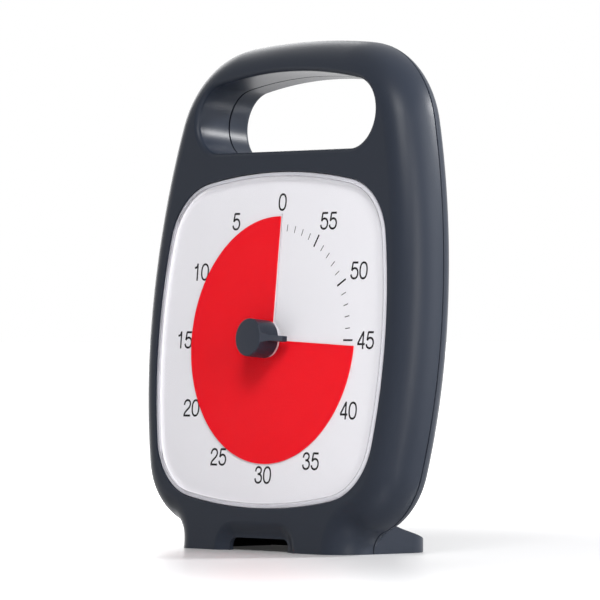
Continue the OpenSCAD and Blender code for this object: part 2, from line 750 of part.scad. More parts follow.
// A wheel and the pinion ahead of it on one arbor
module wheel_and_pinion(at, wheel_m, teeth, pinion_m, turn, y_pinion, y_wheel, arbor_r) {
    placed() translate([at.x, 0, at.y]) {
        plate(y_wheel, y_wheel + wheel_t) difference() {
            polygon(gear(wheel_m, teeth, 0));
            for (i = [0:3]) rotate(45 + 90 * i)
                translate([wheel_m * teeth * 0.29, 0]) circle(wheel_m * teeth * 0.13);
        }
        plate(y_pinion, y_wheel + 0.1) polygon(gear(pinion_m, small_pinion, turn));
        rod([0, 0], arbor_r, front_plate + 0.2, back_plate + back_plate_t - 0.2);
    }
}
arbor_r = 0.5;
bearing_r = 0.6;
module spindle_wheel() {
    color(ivory) placed() plate(layer[0], layer[0] + wheel_t) difference() {
        polygon(gear(big_module, spindle_teeth, 0));
        circle(seat_r + contact);
        for (i = [0:4]) rotate(72 * i) translate([8.3, 0]) circle(2.2);
    }
}
module third_wheel() {
    color(ivory) wheel_and_pinion(third_at, big_module, third_teeth, big_module,
        mesh_turn(third_angle, spindle_teeth, small_pinion), layer[0] - 0.2, layer[1], arbor_r);
}
module second_wheel() {
    color(ivory) wheel_and_pinion(second_at, small_module, second_teeth, big_module,
        mesh_turn(second_angle, third_teeth, small_pinion), layer[1] - 0.1, layer[2], arbor_r);
}
module first_wheel() {
    color(ivory) wheel_and_pinion(first_at, small_module, first_teeth, small_module,
        mesh_turn(first_angle, second_teeth, small_pinion), layer[2] - 0.1, layer[3], arbor_r);
}
// The motor's magnet with its pinion
magnet_r = 2.4;
magnet_front = layer[3] + wheel_t + 0.3;
magnet_t = 2;
module motor_rotor() {
    color(charcoal) placed() translate([rotor_at.x, 0, rotor_at.y]) {
        plate(layer[3] - 0.1, magnet_front + 0.1)
            polygon(gear(small_module, rotor_pinion, mesh_turn(rotor_angle, first_teeth, rotor_pinion)));
        rod([0, 0], magnet_r, magnet_front, magnet_front + magnet_t);
        rod([0, 0], arbor_r, front_plate + 0.2, back_plate + back_plate_t - 0.2);
    }
}

// Star spring that presses the wheel, so that the knob can slip past it
module clutch_spring() {
    color(brass) placed() plate(clutch_y, clutch_y + clutch_t) difference() {
        union() {
            circle(3.6);
            for (a = [0, 120, 240]) rotate(a) {
                translate([0, -0.7]) square([5.8, 1.4]);
                translate([5.8, 0]) circle(1);
            }
        }
        circle(seat_r + contact);
    }
}
module spindle_clip() {
    color(steel) placed() plate(clip_y, clip_y + clip_t) difference() {
        circle(3.3);
        circle(seat_r - 0.45);
        translate([0, -1.4]) square([4, 2.8]);
    }
}

// ---- Motor ----

// Two-pole stator round the rotor, and the coil's core across its ends
stator_front = magnet_front + 0.5;
stator_t = 1;
core_x = 23.4;
arm_z = [8.4, 11];
module stator() {
    color(steel) placed() plate(stator_front, stator_front + stator_t) difference() {
        union() {
            translate([9.5, -6]) square([10, 13.2]);
            translate([17.2, -arm_z[1]]) square([2.6, 2 * arm_z[1]]);
            for (z = [arm_z[0], -arm_z[1]])
                translate([17.2, z]) square([core_x + 1.2 - 17.2, arm_z[1] - arm_z[0]]);
        }
        translate(rotor_at) {
            circle(magnet_r + 0.4);
            for (a = [35, 215]) rotate(a) translate([magnet_r + 0.4, 0]) circle(0.35);
        }
    }
}
module coil_core() {
    color(steel) placed() plate(stator_front - 1, stator_front)
        translate([core_x - 1.2, -arm_z[1]]) square([2.4, 2 * arm_z[1]]);
}
module coil() {
    color(copper) placed() difference() {
        translate([core_x, stator_front - 0.5, 0]) rotate_extrude()
            polygon([[0, -7], [2.9, -7], [2.9, -6.3], [2.5, -6.1], [2.5, 6.1], [2.9, 6.3],
                     [2.9, 7], [0, 7]]);
        plate(stator_front - 1 - contact, stator_front + contact)
            translate([core_x - 1.2 - contact, -8]) square([2.4 + 2 * contact, 16]);
    }
}

// ---- Movement housing ----

movement_mid = [2, 4.5];
movement_half = [26, 22.5];
column_at = [[25, 24], [-21, 24], [25, -15], [-21, -15]];
column_r = 2.1;
thin_screw_r = 0.8;
thin_hole_r = 0.95;
function bearings() = [third_at, second_at, first_at, rotor_at];
module movement_shape(grow) {
    translate(movement_mid) rounded(movement_half.x + grow, movement_half.y + grow, 3 + grow);
}
module movement_bracket() {
    color(ivory) placed() plate(post_end, front_plate) difference() {
        union() {
            movement_shape(0);
            for (a = [45, 135]) rotate(a) square([2 * norm(post_at[0]), 8], center = true);
            for (at = post_at) translate(at) circle(4);
        }
        circle(spindle_r + slip);
        for (at = post_at) translate(at) circle(small_hole_r + 0.1);
        for (at = column_at) translate(at) circle(thin_hole_r);
    }
}
module bracket_screws() {
    color(steel) placed() for (at = post_at)
        screw(at, front_plate, small_screw_r, 4.2, 2, 1.4);
}
module movement_front() {
    color(ivory) placed() difference() {
        plate(front_plate, front_plate + front_plate_t) difference() {
            movement_shape(0);
            circle(spindle_r + 0.15);
            for (at = column_at) translate(at) circle(thin_hole_r);
        }
        rods(bearings(), bearing_r, front_plate + 0.1, front_plate + front_plate_t + 1);
    }
}
module movement_back() {
    y0 = front_plate + front_plate_t;
    color(ivory) placed() difference() {
        plate(y0, back_plate + back_plate_t) movement_shape(0);
        difference() {
            plate(y0 - 1, back_plate) movement_shape(-1.2);
            rods(column_at, column_r, y0 - 2, back_plate + 1);
        }
        rods(column_at, thin_hole_r, y0 - 1, back_plate + back_plate_t + 1);
        rods(bearings(), bearing_r, back_plate - 1, back_plate + back_plate_t - 0.1);
        rod([0, 0], pivot_r + 0.1, back_plate - 1, back_plate + back_plate_t - 0.4);
    }
}
module movement_screws() {
    y1 = back_plate + back_plate_t;
    color(steel) placed() for (at = column_at)
        screw(at, y1, thin_screw_r, y1 - post_end - 0.3, 1.7, 1.1);
}

// ---- Board and sound ----

board_front = 8;
board_t = 1.6;
board_half_w = 36.5;
board_h = 16.5;
board_back = board_front + board_t;
module circuit_board() {
    color(board_green) placed() plate(board_front, board_back) difference() {
        translate([-board_half_w, board_low]) square([2 * board_half_w, board_h]);
        for (at = board_post_at) translate(at) circle(small_hole_r + 0.1);
    }
}
module board_screws() {
    color(steel) placed() for (at = board_post_at)
        screw(at, board_back, small_screw_r, 5.5, 2, 1.4);
}
module control_chip() {
    color(black) placed() plate(board_back, board_back + 1.6)
        translate([-22, board_low + 4]) square([9, 8]);
}
module capacitors() {
    color(black) placed() for (x = [14, 21])
        rod([x, board_low + 8.5], 2.5, board_back, volume_seat - wall - 0.6);
}
pot_t = 4;
module volume_pot() {
    color(steel) placed() difference() {
        union() {
            plate(board_back, board_back + pot_t) translate(volume_at) rounded(5, 5, 1);
            rod(volume_at, 3.2, board_back + pot_t - 0.1, board_back + pot_t + 2);
        }
        rod(volume_at, 1.9 + 0.15, board_back + 1.5, board_back + pot_t + 3);
    }
}
module volume_shaft() {
    color(steel) placed() rod(volume_at, 1.9, board_back + 1.8, volume_seat + 2.2);
}
// A ribbed dial in the rear recess, with a slot to turn it by
volume_ribs = 24;
module volume_dial() {
    y0 = volume_seat + slip;
    color(charcoal) placed() difference() {
        union() {
            rod(volume_at, volume_r - 0.8, y0, case_back + 0.4);
            plate(y0, case_back - 0.2) translate(volume_at)
                for (i = [0:volume_ribs - 1]) rotate(360 * i / volume_ribs)
                    translate([volume_r - 1.5, -0.7]) square([1.5, 1.4]);
        }
        rod(volume_at, 1.9 + contact, y0 - 1, volume_seat + 2.3);
        translate([volume_at.x, case_back + 0.4, volume_at.y]) cube([1.6, 2.4, 2 * volume_r - 7], center = true);
    }
}
module speaker() {
    y1 = back_inside - 0.2;
    color(black) placed() translate([speaker_at.x, y1, speaker_at.y]) rotate([90, 0, 0])
        rotate_extrude() polygon([[0, 1.2], [3, 1.2], [4, 0.7], [speaker_r - 2.5, 0.7],
            [speaker_r - 2, 0], [speaker_r, 0], [speaker_r, 1.6], [speaker_r - 3, speaker_t - 1.4],
            [speaker_r - 4.5, speaker_t - 1.4], [speaker_r - 4.5, speaker_t], [0, speaker_t]]);
}

// ---- Battery ----

contact_t = 0.5;
pip_len = 1;
battery_end = bay_half_l - contact_t;
module battery() {
    color([0.25, 0.28, 0.32]) placed() translate([battery_end, battery_y, battery_z])
        rotate([0, -90, 0]) rotate_extrude()
            polygon([[0, 0], [2.7, 0], [2.7, pip_len], [battery_d / 2 - 0.4, pip_len],
                     [battery_d / 2, pip_len + 0.4], [battery_d / 2, battery_len - 0.4],
                     [battery_d / 2 - 0.4, battery_len], [0, battery_len]]);
}
module contact_plate(x0) {
    translate([x0, battery_y - 5.5, battery_z - 5]) cube([contact_t, 11, 10]);
}
module plus_contact() { color(steel) placed() contact_plate(battery_end); }
spring_coils = 5;
module spring_contact() {
    x0 = -bay_half_l;
    free = battery_end - battery_len + bay_half_l - contact_t - 0.4;
    wire = 0.4;
    color(steel) placed() {
        contact_plate(x0);
        translate([x0 + contact_t, battery_y, battery_z]) rotate([0, 90, 0])
            cone_spring(5, 3.4, free, spring_coils, wire);
    }
}
// A wire wound up a cone, standing on its first turn
module cone_spring(r0, r1, h, turns, wire) {
    per_turn = 14;
    n = turns * per_turn;
    rings = [for (i = [0:n]) let (a = 360 * i / per_turn, f = i / n, r = r0 + (r1 - r0) * f)
             [for (k = [0:5]) let (b = 60 * k)
              [(r + wire * cos(b)) * cos(a), (r + wire * cos(b)) * sin(a),
               wire * 0.8 + (h - 2 * wire) * f + wire * sin(b)]]];
    sides = [for (i = [0:n - 1]) for (k = [0:5]) let (j = (k + 1) % 6)
             each [[i * 6 + k, i * 6 + j, (i + 1) * 6 + j], [i * 6 + k, (i + 1) * 6 + j, (i + 1) * 6 + k]]];
    polyhedron([for (r = rings) each r],
               concat([[for (k = [5:-1:0]) k]], sides, [[for (k = [0:5]) n * 6 + k]]));
}

module battery_door() {
    color(slate) placed() difference() {
        union() {
            intersection() {
                plate(door_seat + contact, case_back + 1) door_shape(-door_gap);
                case_solid(rear_section(seam_back), 0);
            }
            // Ribs that hold the battery down, and a frame that fits the bay
            for (x = [-12, 12]) translate([x - 0.8, battery_y + battery_d / 2 + 0.15, battery_z - 3])
                cube([1.6, door_seat + 0.2 - battery_y - battery_d / 2 - 0.15, 6]);
        }
        rods(door_screw_at, screw_hole_r, door_seat - 1, case_back + 1);
        rods(door_screw_at, 2.6, case_back - 1.1, case_back + 1);
        // Finger notch
        translate([0, case_back + 1.2, battery_z + door_h / 2 - 3.2]) rotate([0, 90, 0])
            cylinder(r = 2, h = 14, center = true);
    }
}
module door_screws() {
    color(steel) placed() for (at = door_screw_at)
        screw(at, case_back - 1.1, 1.3, 5.5, 2.4, 1.1);
}

front_case();
rear_case();
case_screws();
lens();
dial_tray();
tray_screws();
time_disc();
spindle();
knob();
spindle_wheel();
clutch_spring();
spindle_clip();
third_wheel();
second_wheel();
first_wheel();
motor_rotor();
stator();
coil_core();
coil();
movement_bracket();
bracket_screws();
movement_front();
movement_back();
movement_screws();
circuit_board();
board_screws();
control_chip();
capacitors();
volume_pot();
volume_shaft();
volume_dial();
speaker();
battery();
plus_contact();
spring_contact();
battery_door();
door_screws();
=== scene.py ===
import json
import math

import bmesh
import bpy
import numpy as np
from mathutils import Matrix, Vector


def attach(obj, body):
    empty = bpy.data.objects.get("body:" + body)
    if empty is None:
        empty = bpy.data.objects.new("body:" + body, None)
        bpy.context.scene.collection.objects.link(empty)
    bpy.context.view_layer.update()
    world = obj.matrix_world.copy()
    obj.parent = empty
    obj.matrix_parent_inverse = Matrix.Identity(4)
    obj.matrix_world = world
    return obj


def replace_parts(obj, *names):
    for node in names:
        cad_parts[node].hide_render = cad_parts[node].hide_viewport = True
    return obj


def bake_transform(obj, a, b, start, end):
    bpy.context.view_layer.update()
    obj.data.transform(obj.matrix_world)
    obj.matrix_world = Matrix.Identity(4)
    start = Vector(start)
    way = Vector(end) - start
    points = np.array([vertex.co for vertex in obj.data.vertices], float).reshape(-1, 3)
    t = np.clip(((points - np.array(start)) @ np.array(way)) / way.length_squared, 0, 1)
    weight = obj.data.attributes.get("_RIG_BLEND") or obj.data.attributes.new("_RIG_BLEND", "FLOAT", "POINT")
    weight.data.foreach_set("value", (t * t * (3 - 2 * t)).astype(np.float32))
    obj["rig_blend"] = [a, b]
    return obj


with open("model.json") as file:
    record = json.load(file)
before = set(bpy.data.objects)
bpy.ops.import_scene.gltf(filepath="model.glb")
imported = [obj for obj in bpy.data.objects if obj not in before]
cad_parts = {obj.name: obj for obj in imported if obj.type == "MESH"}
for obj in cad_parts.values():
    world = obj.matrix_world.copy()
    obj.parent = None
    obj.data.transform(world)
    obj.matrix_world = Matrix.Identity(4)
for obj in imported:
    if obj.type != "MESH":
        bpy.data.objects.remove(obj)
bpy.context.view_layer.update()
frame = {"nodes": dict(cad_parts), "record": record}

# ---------------------------------------------------------------- sizes, mm
# The dial's own frame: x right, y back, z up, with the dial centre at zero
# and the dial face in the plane y = 0. These repeat the part's named values.
MM = 0.001
# How far a cutter runs past what it cuts, a step too small to see, and bodies that only touch
OVER, HAIR, CONTACT = 1, 0.001, 0.05
LEAN = math.radians(5.2)
CASE_LOW, FOOT_RISE = 66.2, 7
DIAL_H = CASE_LOW + FOOT_RISE
FOOT_BACK = 35.5
KNOB_R, KNOB_OUT, KNOB_EDGE = 6.6, 11.3, 0.5
DIAL_Y = ((KNOB_OUT - KNOB_EDGE) * math.cos(LEAN) + (KNOB_R - KNOB_EDGE) * math.sin(LEAN)
          + KNOB_EDGE - FOOT_BACK) / 2
WALL = 2.2
CASE_HALF_W, CASE_WIDE_Z = 72.3, 2.4
CASE_TOP, CASE_TOP_R, SHOULDER_R = 106.1, 299, 38
SIDE_R, LOW_SIDE_R, LOW_CORNER_R = 268, 220, 26.8
FOOT_HALF_W, FILLET_R = 45.4, 6.9
FRONT = -1.9
EDGE_IN, EDGE_DEEP = 10.7, 14.8
REAR_IN, REAR_DEEP = 18, 9.9
WIDE_Y = FRONT + EDGE_DEEP
BACK = WIDE_Y + REAR_DEEP
SEAM, GROOVE_HALF, GROOVE_DEEP = 13.2, 0.2, 0.9
HOLE_TOP = CASE_TOP - 12.2
HOLE_BOTTOM = HOLE_TOP - 27.8
HOLE_HALF_W, HOLE_TOP_R, HOLE_CORNER_R, HOLE_EDGE = 46.9, 190, 12.3, 1.8
WIN_HALF_W, WIN_HALF_H = CASE_HALF_W - 11.8, CASE_LOW - 7.4
WIN_SIDE_R, WIN_TOP_R, WIN_CORNER_R = 200, 214, 24
FOOT_CORNER_R, FOOT_HIGH, FOOT_LOW = 10.5, 8.4, 4.1
ARCH_HALF_W, ARCH_FLARE, ARCH_DEEP = 15.5, 4.5, 6
UNDER_H, UNDER_HALF_W, UNDER_BACK_H, UNDER_BACK_WALL = 4.5, 36, 0.1, 5.5
LENS_T, LENS_GAP, LENS_BEVEL, COLLAR_R, COLLAR_OUT = 1.2, 0.2, 1.3, 6.3, 0.8
TRAY_T, TRAY_SLOPE, TRAY_FLANGE = 2, 2, 2.2
DISC_R, DISC_T, MINUTES, SLIT_W = 43.2, 0.25, 44.55, 0.8
POINTER_REACH, POINTER_T = 11.3, 1.9
SPINDLE_R = 2.5
CASE_SCREWS = [(CASE_HALF_W - 17, HOLE_BOTTOM + 3.9), (17 - CASE_HALF_W, HOLE_BOTTOM + 3.9),
               (0, CASE_TOP - 6.1),
               (CASE_HALF_W - 24.9, 7.8 - CASE_LOW), (24.9 - CASE_HALF_W, 7.8 - CASE_LOW)]
TRAY_SCREWS = [(WIN_HALF_W - 5.9, WIN_HALF_H - 9.8), (5.9 - WIN_HALF_W, WIN_HALF_H - 9.8),
               (WIN_HALF_W / 2, -WIN_HALF_H - 2.9), (-WIN_HALF_W / 2, -WIN_HALF_H - 2.9)]
TRAY_BOSS_R = 2.5
LENS_BACK = FRONT + LENS_T
KNOB_GAP, DISC_GAP, SHEET_GAP, SHEET_HUB_GAP = 0.2, 0.2, 0.3, 0.2
KNOB_BACK = FRONT - COLLAR_OUT - KNOB_GAP
SHEET_X = 0.5
DISC_FRONT = -DISC_GAP - DISC_T
DISC_BACK = TRAY_T + SHEET_GAP
# Angles are in degrees, anticlockwise from the right: the disc's edge and the pointer ahead of it
EDGE_ANGLE = 90 + MINUTES * 6
POINTER_TURN = EDGE_ANGLE + 3
FRONT_IN = FRONT + WALL
BACK_IN = BACK - WALL
BATTERY_D, BATTERY_Z, BAY_HALF_L = 14.5, 19.6 - CASE_LOW, 29.5
BAY_HALF_H, BAY_WALL = BATTERY_D / 2 + 0.65, 1.4
BATTERY_Y = BACK_IN - 1.25 - BATTERY_D / 2
BAY_FRONT = BATTERY_Y - BATTERY_D / 2 - 0.5
DOOR_HALF_W, DOOR_H, DOOR_T, DOOR_CORNER_R = 40, 22, 2, 4
DOOR_SEAT = BACK - DOOR_T
DOOR_SCREWS = [(35.6, BATTERY_Z), (-35.6, BATTERY_Z)]
BOARD_LOW = HOLE_BOTTOM - 26.1
VOLUME_AT, VOLUME_R = (0, BOARD_LOW + 7), 11.4
VOLUME_SEAT = BACK - 4.4
SPEAKER_AT, SPEAKER_R, SPEAKER_T = (CASE_HALF_W - 30.3, 0), 11.5, 5.2

# Smaller forms, some of them finer than the part's
EDGE_SHARE, REAR_INNER_START, FILLET_STOP = 0.65, 4, 1
LIP, LIP_LOW = 0.3, 0.09
GROOVE_EASE, GROOVE_ROUND = 0.2, 0.15
HOLE_GROOVE_DEEP, HOLE_GROOVE_HALF = 1.2, 0.32
ARCH_CORNER_R, SCOOP_WIDER, SCOOP_DEEP, SCOOP_PROUD = 3, 1.3, 2.3, 0.02
UNDER_START, UNDER_REACH = 4, 60
FOOT_GAP, FOOT_ROOT, FOOT_LIFT_RUN, FOOT_LIFT_R, FOOT_LIFT = 0.3, 5, 5, 1.5, 0.35
WEDGE_Y, WEDGE_END, WEDGE_NOSE_R, WEDGE_NOSE_DROP = 20, 23, 2, 1.8
CASE_BOSS_R, CASE_BOSS_END, CASE_BORE_R, CASE_BORE_SKIN, CASE_BORE_END = 3.2, 9, 1.5, 0.6, 10
CASE_SCREW_R, CASE_SCREW_START, CASE_HEAD_R, CASE_HEAD_SEAT, CASE_HEAD_WALL = 1.6, 8, 3.2, 15, 1.2
TRAY_BORE_R, TRAY_BORE_START = 1.0, 0.7
DOOR_BOSS_R, DOOR_BORE_R, DOOR_BORE_FLOOR = 3, 1.5, 1
VOLUME_GAP, VOLUME_HOLE_R = 0.6, 3
SPEAKER_GAP, SPEAKER_WALL, SPEAKER_DEEPER = 0.3, 1.6, 0.2
SOUND_R, SOUND_PITCH, SOUND_HALF_W, SOUND_SLOTS, SOUND_SHORTER = 8, 4, 0.8, 5, 1
LENS_FLAT_IN, LENS_CORNER, LENS_CORNER_DEEP, LENS_EDGE, LENS_ROOM = 0.35, 0.04, 0.05, 0.1, 0.5
TRAY_ROOM, TRAY_SHORT, NOTCH_GAP, SLIT_PAST, SLIT_INNER, HUB_GAP = 0.3, 0.2, 0.3, 1, 0.9, 0.7
POSTS = [(x, z) for x in (-37, 37) for z in (-37, 37)]
POST_R, POST_END, POST_ROOT, POST_BORE_R, POST_BORE_START = 3, 4, 0.5, 1, 0.7
BOARD_POSTS = [(x, z) for x in (-33, 33) for z in (BOARD_LOW + 4.5, BOARD_LOW + 13)]
BOARD_POST_R, BOARD_POST_END, BOARD_BORE_START = 2.5, 8, 3
RIM_IN, RIM_CURVE, RIM_START = 1.5, 0.85, 0.5
# Slope limits on the lens: faces less square to the front than these get the bevel's painted reflection or
# its corner's painted shade
BEVEL_FACING, CORNER_FACING = 0.97, 0.999
INK, INK_SUNK = 0.03, 0.01
HOUR_TICK, MINUTE_TICK = (37.3, 42.1, 0.33), (38.1, 40.5, 0.15)
KNOB_BACK_EASE, KNOB_EASE_R, KNOB_EASE_Y, KNOB_BEVEL = 0.25, 0.06, 0.07, 0.18
KNOB_BORE, KNOB_BORE_GAP = 6.8, 0.05
POINTER_FOOT, POINTER_TIP_R, POINTER_HALF_H, POINTER_FLARE = 1.0, 1.6, 2, 2.8
POINTER_INSET, POINTER_STEP = 0.1, 0.4
BLEND_REACH = 50

PLACED = Matrix.Translation((0, DIAL_Y * MM, DIAL_H * MM)) @ Matrix.Rotation(-LEAN, 4, "X")


# ------------------------------------------------------------- plane outlines
def unit(a):
    return np.array([math.cos(math.radians(a)), math.sin(math.radians(a))])


def meet(a, ra, b, rb):
    """The upper of the two points at ra from a and rb from b."""
    a, b = np.array(a, float), np.array(b, float)
    d = np.linalg.norm(b - a)
    along = (ra * ra - rb * rb + d * d) / (2 * d)
    side = math.sqrt(ra * ra - along * along)
    u = (b - a) / d
    p, q = a + along * u, side * np.array([-u[1], u[0]])
    return p + q if (p + q)[1] > (p - q)[1] else p - q


def heading(a, b):
    return math.degrees(math.atan2(b[1] - a[1], b[0] - a[0]))


def arc(c, r, a0, a1, n):
    return [np.array(c) + r * unit(a0 + (a1 - a0) * i / n) for i in range(n + 1)]


def closed(half):
    """The whole outline from its right half, which starts and may end on the middle line."""
    return half + [np.array([-p[0], p[1]]) for p in reversed(half) if p[0] > HAIR]


TOP_C = (0, CASE_TOP - CASE_TOP_R)
SIDE_C = (CASE_HALF_W - SIDE_R, CASE_WIDE_Z)
LOW_SIDE_C = (CASE_HALF_W - LOW_SIDE_R, CASE_WIDE_Z)
SHOULDER_C = meet(TOP_C, CASE_TOP_R - SHOULDER_R, SIDE_C, SIDE_R - SHOULDER_R)
CORNER_Z = LOW_CORNER_R - CASE_LOW
CORNER_C = (LOW_SIDE_C[0] + math.sqrt((LOW_SIDE_R - LOW_CORNER_R) ** 2
                                      - (CORNER_Z - CASE_WIDE_Z) ** 2), CORNER_Z)
FILLET_X = FOOT_HALF_W + FILLET_R
FILLET_C = (FILLET_X, CORNER_Z - math.sqrt((LOW_CORNER_R + FILLET_R) ** 2
                                           - (FILLET_X - CORNER_C[0]) ** 2))
WIN_SIDE_C = (WIN_HALF_W - WIN_SIDE_R, 0)
WIN_TOP_C = (0, WIN_HALF_H - WIN_TOP_R)
WIN_CORNER_C = meet(WIN_TOP_C, WIN_TOP_R - WIN_CORNER_R, WIN_SIDE_C, WIN_SIDE_R - WIN_CORNER_R)
HOLE_TOP_C = (0, HOLE_TOP - HOLE_TOP_R)
HOLE_CORNER_X = HOLE_HALF_W - HOLE_CORNER_R
HOLE_CORNER_C = (HOLE_CORNER_X, HOLE_TOP_C[1] + math.sqrt((HOLE_TOP_R - HOLE_CORNER_R) ** 2
                                                          - HOLE_CORNER_X ** 2))
HOLE_LOW_R = min(HOLE_CORNER_R, HOLE_CORNER_C[1] - HOLE_BOTTOM)
HOLE_LOW_C = (HOLE_HALF_W - HOLE_LOW_R, HOLE_BOTTOM + HOLE_LOW_R)


def level(y, h):
    """The dial frame's z, at depth y, of a point h above the floor."""
    return (h - DIAL_H + y * math.sin(LEAN)) / math.cos(LEAN)


def case_loop(d, y, h):
    """The case's outline, d inside the widest one, at depth y and down to h above the floor."""
    a, b = heading(TOP_C, SHOULDER_C), heading(SIDE_C, SHOULDER_C)
    c, e = heading(LOW_SIDE_C, CORNER_C), heading(CORNER_C, FILLET_C)
    low, r = level(y, h), FILLET_R + d
    over, end = max(0, low - FILLET_C[1]), max(0, low + FILLET_STOP - FILLET_C[1])
    return closed(arc(TOP_C, CASE_TOP_R - d, 90, a, 14)
                  + arc(SHOULDER_C, SHOULDER_R - d, a, b, 22)[1:]
                  + arc(SIDE_C, SIDE_R - d, b, 0, 18)[1:]
                  + arc(LOW_SIDE_C, LOW_SIDE_R - d, 0, c, 14)[1:]
                  + arc(CORNER_C, LOW_CORNER_R - d, c, e, 20)[1:]
                  + arc(FILLET_C, r, e + 180, 180 - math.degrees(math.asin(end / r)), 12)[1:]
                  + [np.array([FILLET_X - math.sqrt(r * r - over * over), low])])


def window_loop(d):
    """The window's outline, d outside the opening."""
    a, b = heading(WIN_TOP_C, WIN_CORNER_C), heading(WIN_SIDE_C, WIN_CORNER_C)
    q = (arc(WIN_TOP_C, WIN_TOP_R + d, 90, a, 14) + arc(WIN_CORNER_C, WIN_CORNER_R + d, a, b, 24)[1:]
         + arc(WIN_SIDE_C, WIN_SIDE_R + d, b, 0, 14)[1:])
    return closed(q + [np.array([p[0], -p[1]]) for p in reversed(q[:-1])])


def hole_loop(d):
    """The hand hole's outline, d outside the opening."""
    a = heading(HOLE_TOP_C, HOLE_CORNER_C)
    return closed(arc(HOLE_TOP_C, HOLE_TOP_R + d, 90, a, 16)
                  + arc(HOLE_CORNER_C, HOLE_CORNER_R + d, a, 0, 20)[1:]
                  + arc(HOLE_LOW_C, HOLE_LOW_R + d, 0, -90, 20)[1:])


def circle_loop(at, r, n):
    return [np.array(at) + r * unit(90 - 360 * i / n) for i in range(n)]


def round_rect(at, hw, hh, r, n=8):
    out = []
    for sx, sz, a in ((1, 1, 90), (1, -1, 0), (-1, -1, -90), (-1, 1, -180)):
        out += arc((at[0] + sx * (hw - r), at[1] + sz * (hh - r)), r, a, a - 90, n)
    return out


# ------------------------------------------------------------------- solids
SHARP = math.radians(28)


def add_object(name, data):
    ob = bpy.data.objects.new(name, data)
    bpy.context.scene.collection.objects.link(ob)
    return ob


def solid(points, faces, placed=True):
    """A mesh object from points in mm of the dial's frame (placed) or of the part's, faces outwards."""
    me = bpy.data.meshes.new("solid")
    me.from_pydata([tuple(float(c) * MM for c in p) for p in points], [], faces)
    if placed:
        me.transform(PLACED)
    bm = bmesh.new()
    bm.from_mesh(me)
    bmesh.ops.remove_doubles(bm, verts=bm.verts, dist=1e-7)
    bmesh.ops.recalc_face_normals(bm, faces=bm.faces)
    bm.to_mesh(me)
    bm.free()
    return add_object("solid", me)


def skin(loops, placed=True):
    """A solid through closed outlines of points, one after another, with its ends capped."""
    n, last = len(loops[0]), len(loops) - 1
    faces = [tuple(range(n)), tuple(last * n + i for i in reversed(range(n)))]
    for k in range(last):
        for i in range(n):
            j = (i + 1) % n
            faces.append((k * n + i, k * n + j, (k + 1) * n + j, (k + 1) * n + i))
    return solid([p for loop in loops for p in loop], faces, placed)


def loft(loops, depths):
    return skin([[(p[0], y, p[1]) for p in loop] for loop, y in zip(loops, depths)])


def stepped(loop, section):
    """A solid whose outline at each y of the section is loop(d)."""
    return loft([loop(d) for d, y in section], [y for d, y in section])


def rod(at, r, y0, y1, n=48):
    return loft([circle_loop(at, r, n)] * 2, [y0, y1])


def rods(places, r, y0, y1, n=48):
    return [rod(p, r, y0, y1, n) for p in places]


def plate(loop, y0, y1):
    return loft([loop, loop], [y0, y1])


def lathe(profile, n):
    """Turned about the depth axis: profile is (radius, y) pairs from axis to axis."""
    pts, fs, rings = [], [], []
    for r, y in profile:
        if r < 1e-6:
            rings.append([len(pts)])
            pts.append((0, y, 0))
        else:
            rings.append(list(range(len(pts), len(pts) + n)))
            pts += [(r * math.cos(2 * math.pi * i / n), y, r * math.sin(2 * math.pi * i / n))
                    for i in range(n)]
    for a, b in zip(rings, rings[1:]):
        for i in range(n):
            j = (i + 1) % n
            if len(a) == 1 and len(b) > 1:
                fs.append((a[0], b[i], b[j]))
            elif len(b) == 1 and len(a) > 1:
                fs.append((a[i], b[0], a[j]))
            elif len(a) > 1:
                fs.append((a[i], b[i], b[j], a[j]))
    return solid(pts, fs)


def block(lo, hi, placed=True):
    (x0, y0, z0), (x1, y1, z1) = lo, hi
    return solid([(x0, y0, z0), (x1, y0, z0), (x1, y1, z0), (x0, y1, z0),
                  (x0, y0, z1), (x1, y0, z1), (x1, y1, z1), (x0, y1, z1)],
                 [(0, 3, 2, 1), (4, 5, 6, 7), (0, 1, 5, 4), (1, 2, 6, 5), (2, 3, 7, 6), (3, 0, 4, 7)], placed)


def combine(a, others, op):
    """Cut, join or keep a with each of the others in turn, and use them up."""
    for b in others:
        m = a.modifiers.new("boolean", "BOOLEAN")
        m.operation, m.object, m.solver = op, b, "MANIFOLD"
        bpy.context.view_layer.update()
        dg = bpy.context.evaluated_depsgraph_get()
        new = bpy.data.meshes.new_from_object(a.evaluated_get(dg))
        a.modifiers.clear()
        used = [a.data, b.data]
        a.data = new
        bpy.data.objects.remove(b)
        for me in used:
            bpy.data.meshes.remove(me)
    return a


def cut(a, *others):
    return combine(a, others, "DIFFERENCE")


def join(a, *others):
    return combine(a, others, "UNION")


def keep(a, *others):
    return combine(a, others, "INTERSECT")


def finish_piece(ob, name, body, mats, replaced=(), weighted=True):
    """Clean, shade and name a piece, and say its body and what it replaces."""
    ob.name = ob.data.name = name
    me = ob.data
    bm = bmesh.new()
    bm.from_mesh(me)
    bmesh.ops.remove_doubles(bm, verts=bm.verts, dist=2e-6)
    bmesh.ops.dissolve_degenerate(bm, edges=bm.edges, dist=1e-6)
    bm.to_mesh(me)
    bm.free()
    me.materials.clear()
    for m in mats if isinstance(mats, (list, tuple)) else [mats]:
        me.materials.append(m)
    me.shade_smooth()
    me.set_sharp_from_angle(angle=SHARP)
    if weighted:
        w = ob.modifiers.new("normals", "WEIGHTED_NORMAL")
        w.keep_sharp, w.weight, w.mode = True, 80, "FACE_AREA"
    if body:
        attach(ob, body)
    if replaced:
        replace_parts(ob, *replaced)
    return ob


# ---------------------------------------------------------------- materials
def linear(c):
    return c / 12.92 if c <= 0.04045 else ((c + 0.055) / 1.055) ** 2.4


def srgb(r, g, b):
    return tuple(linear(c / 255) for c in (r, g, b)) + (1,)


GRAIN_DEPTH = 0.00005


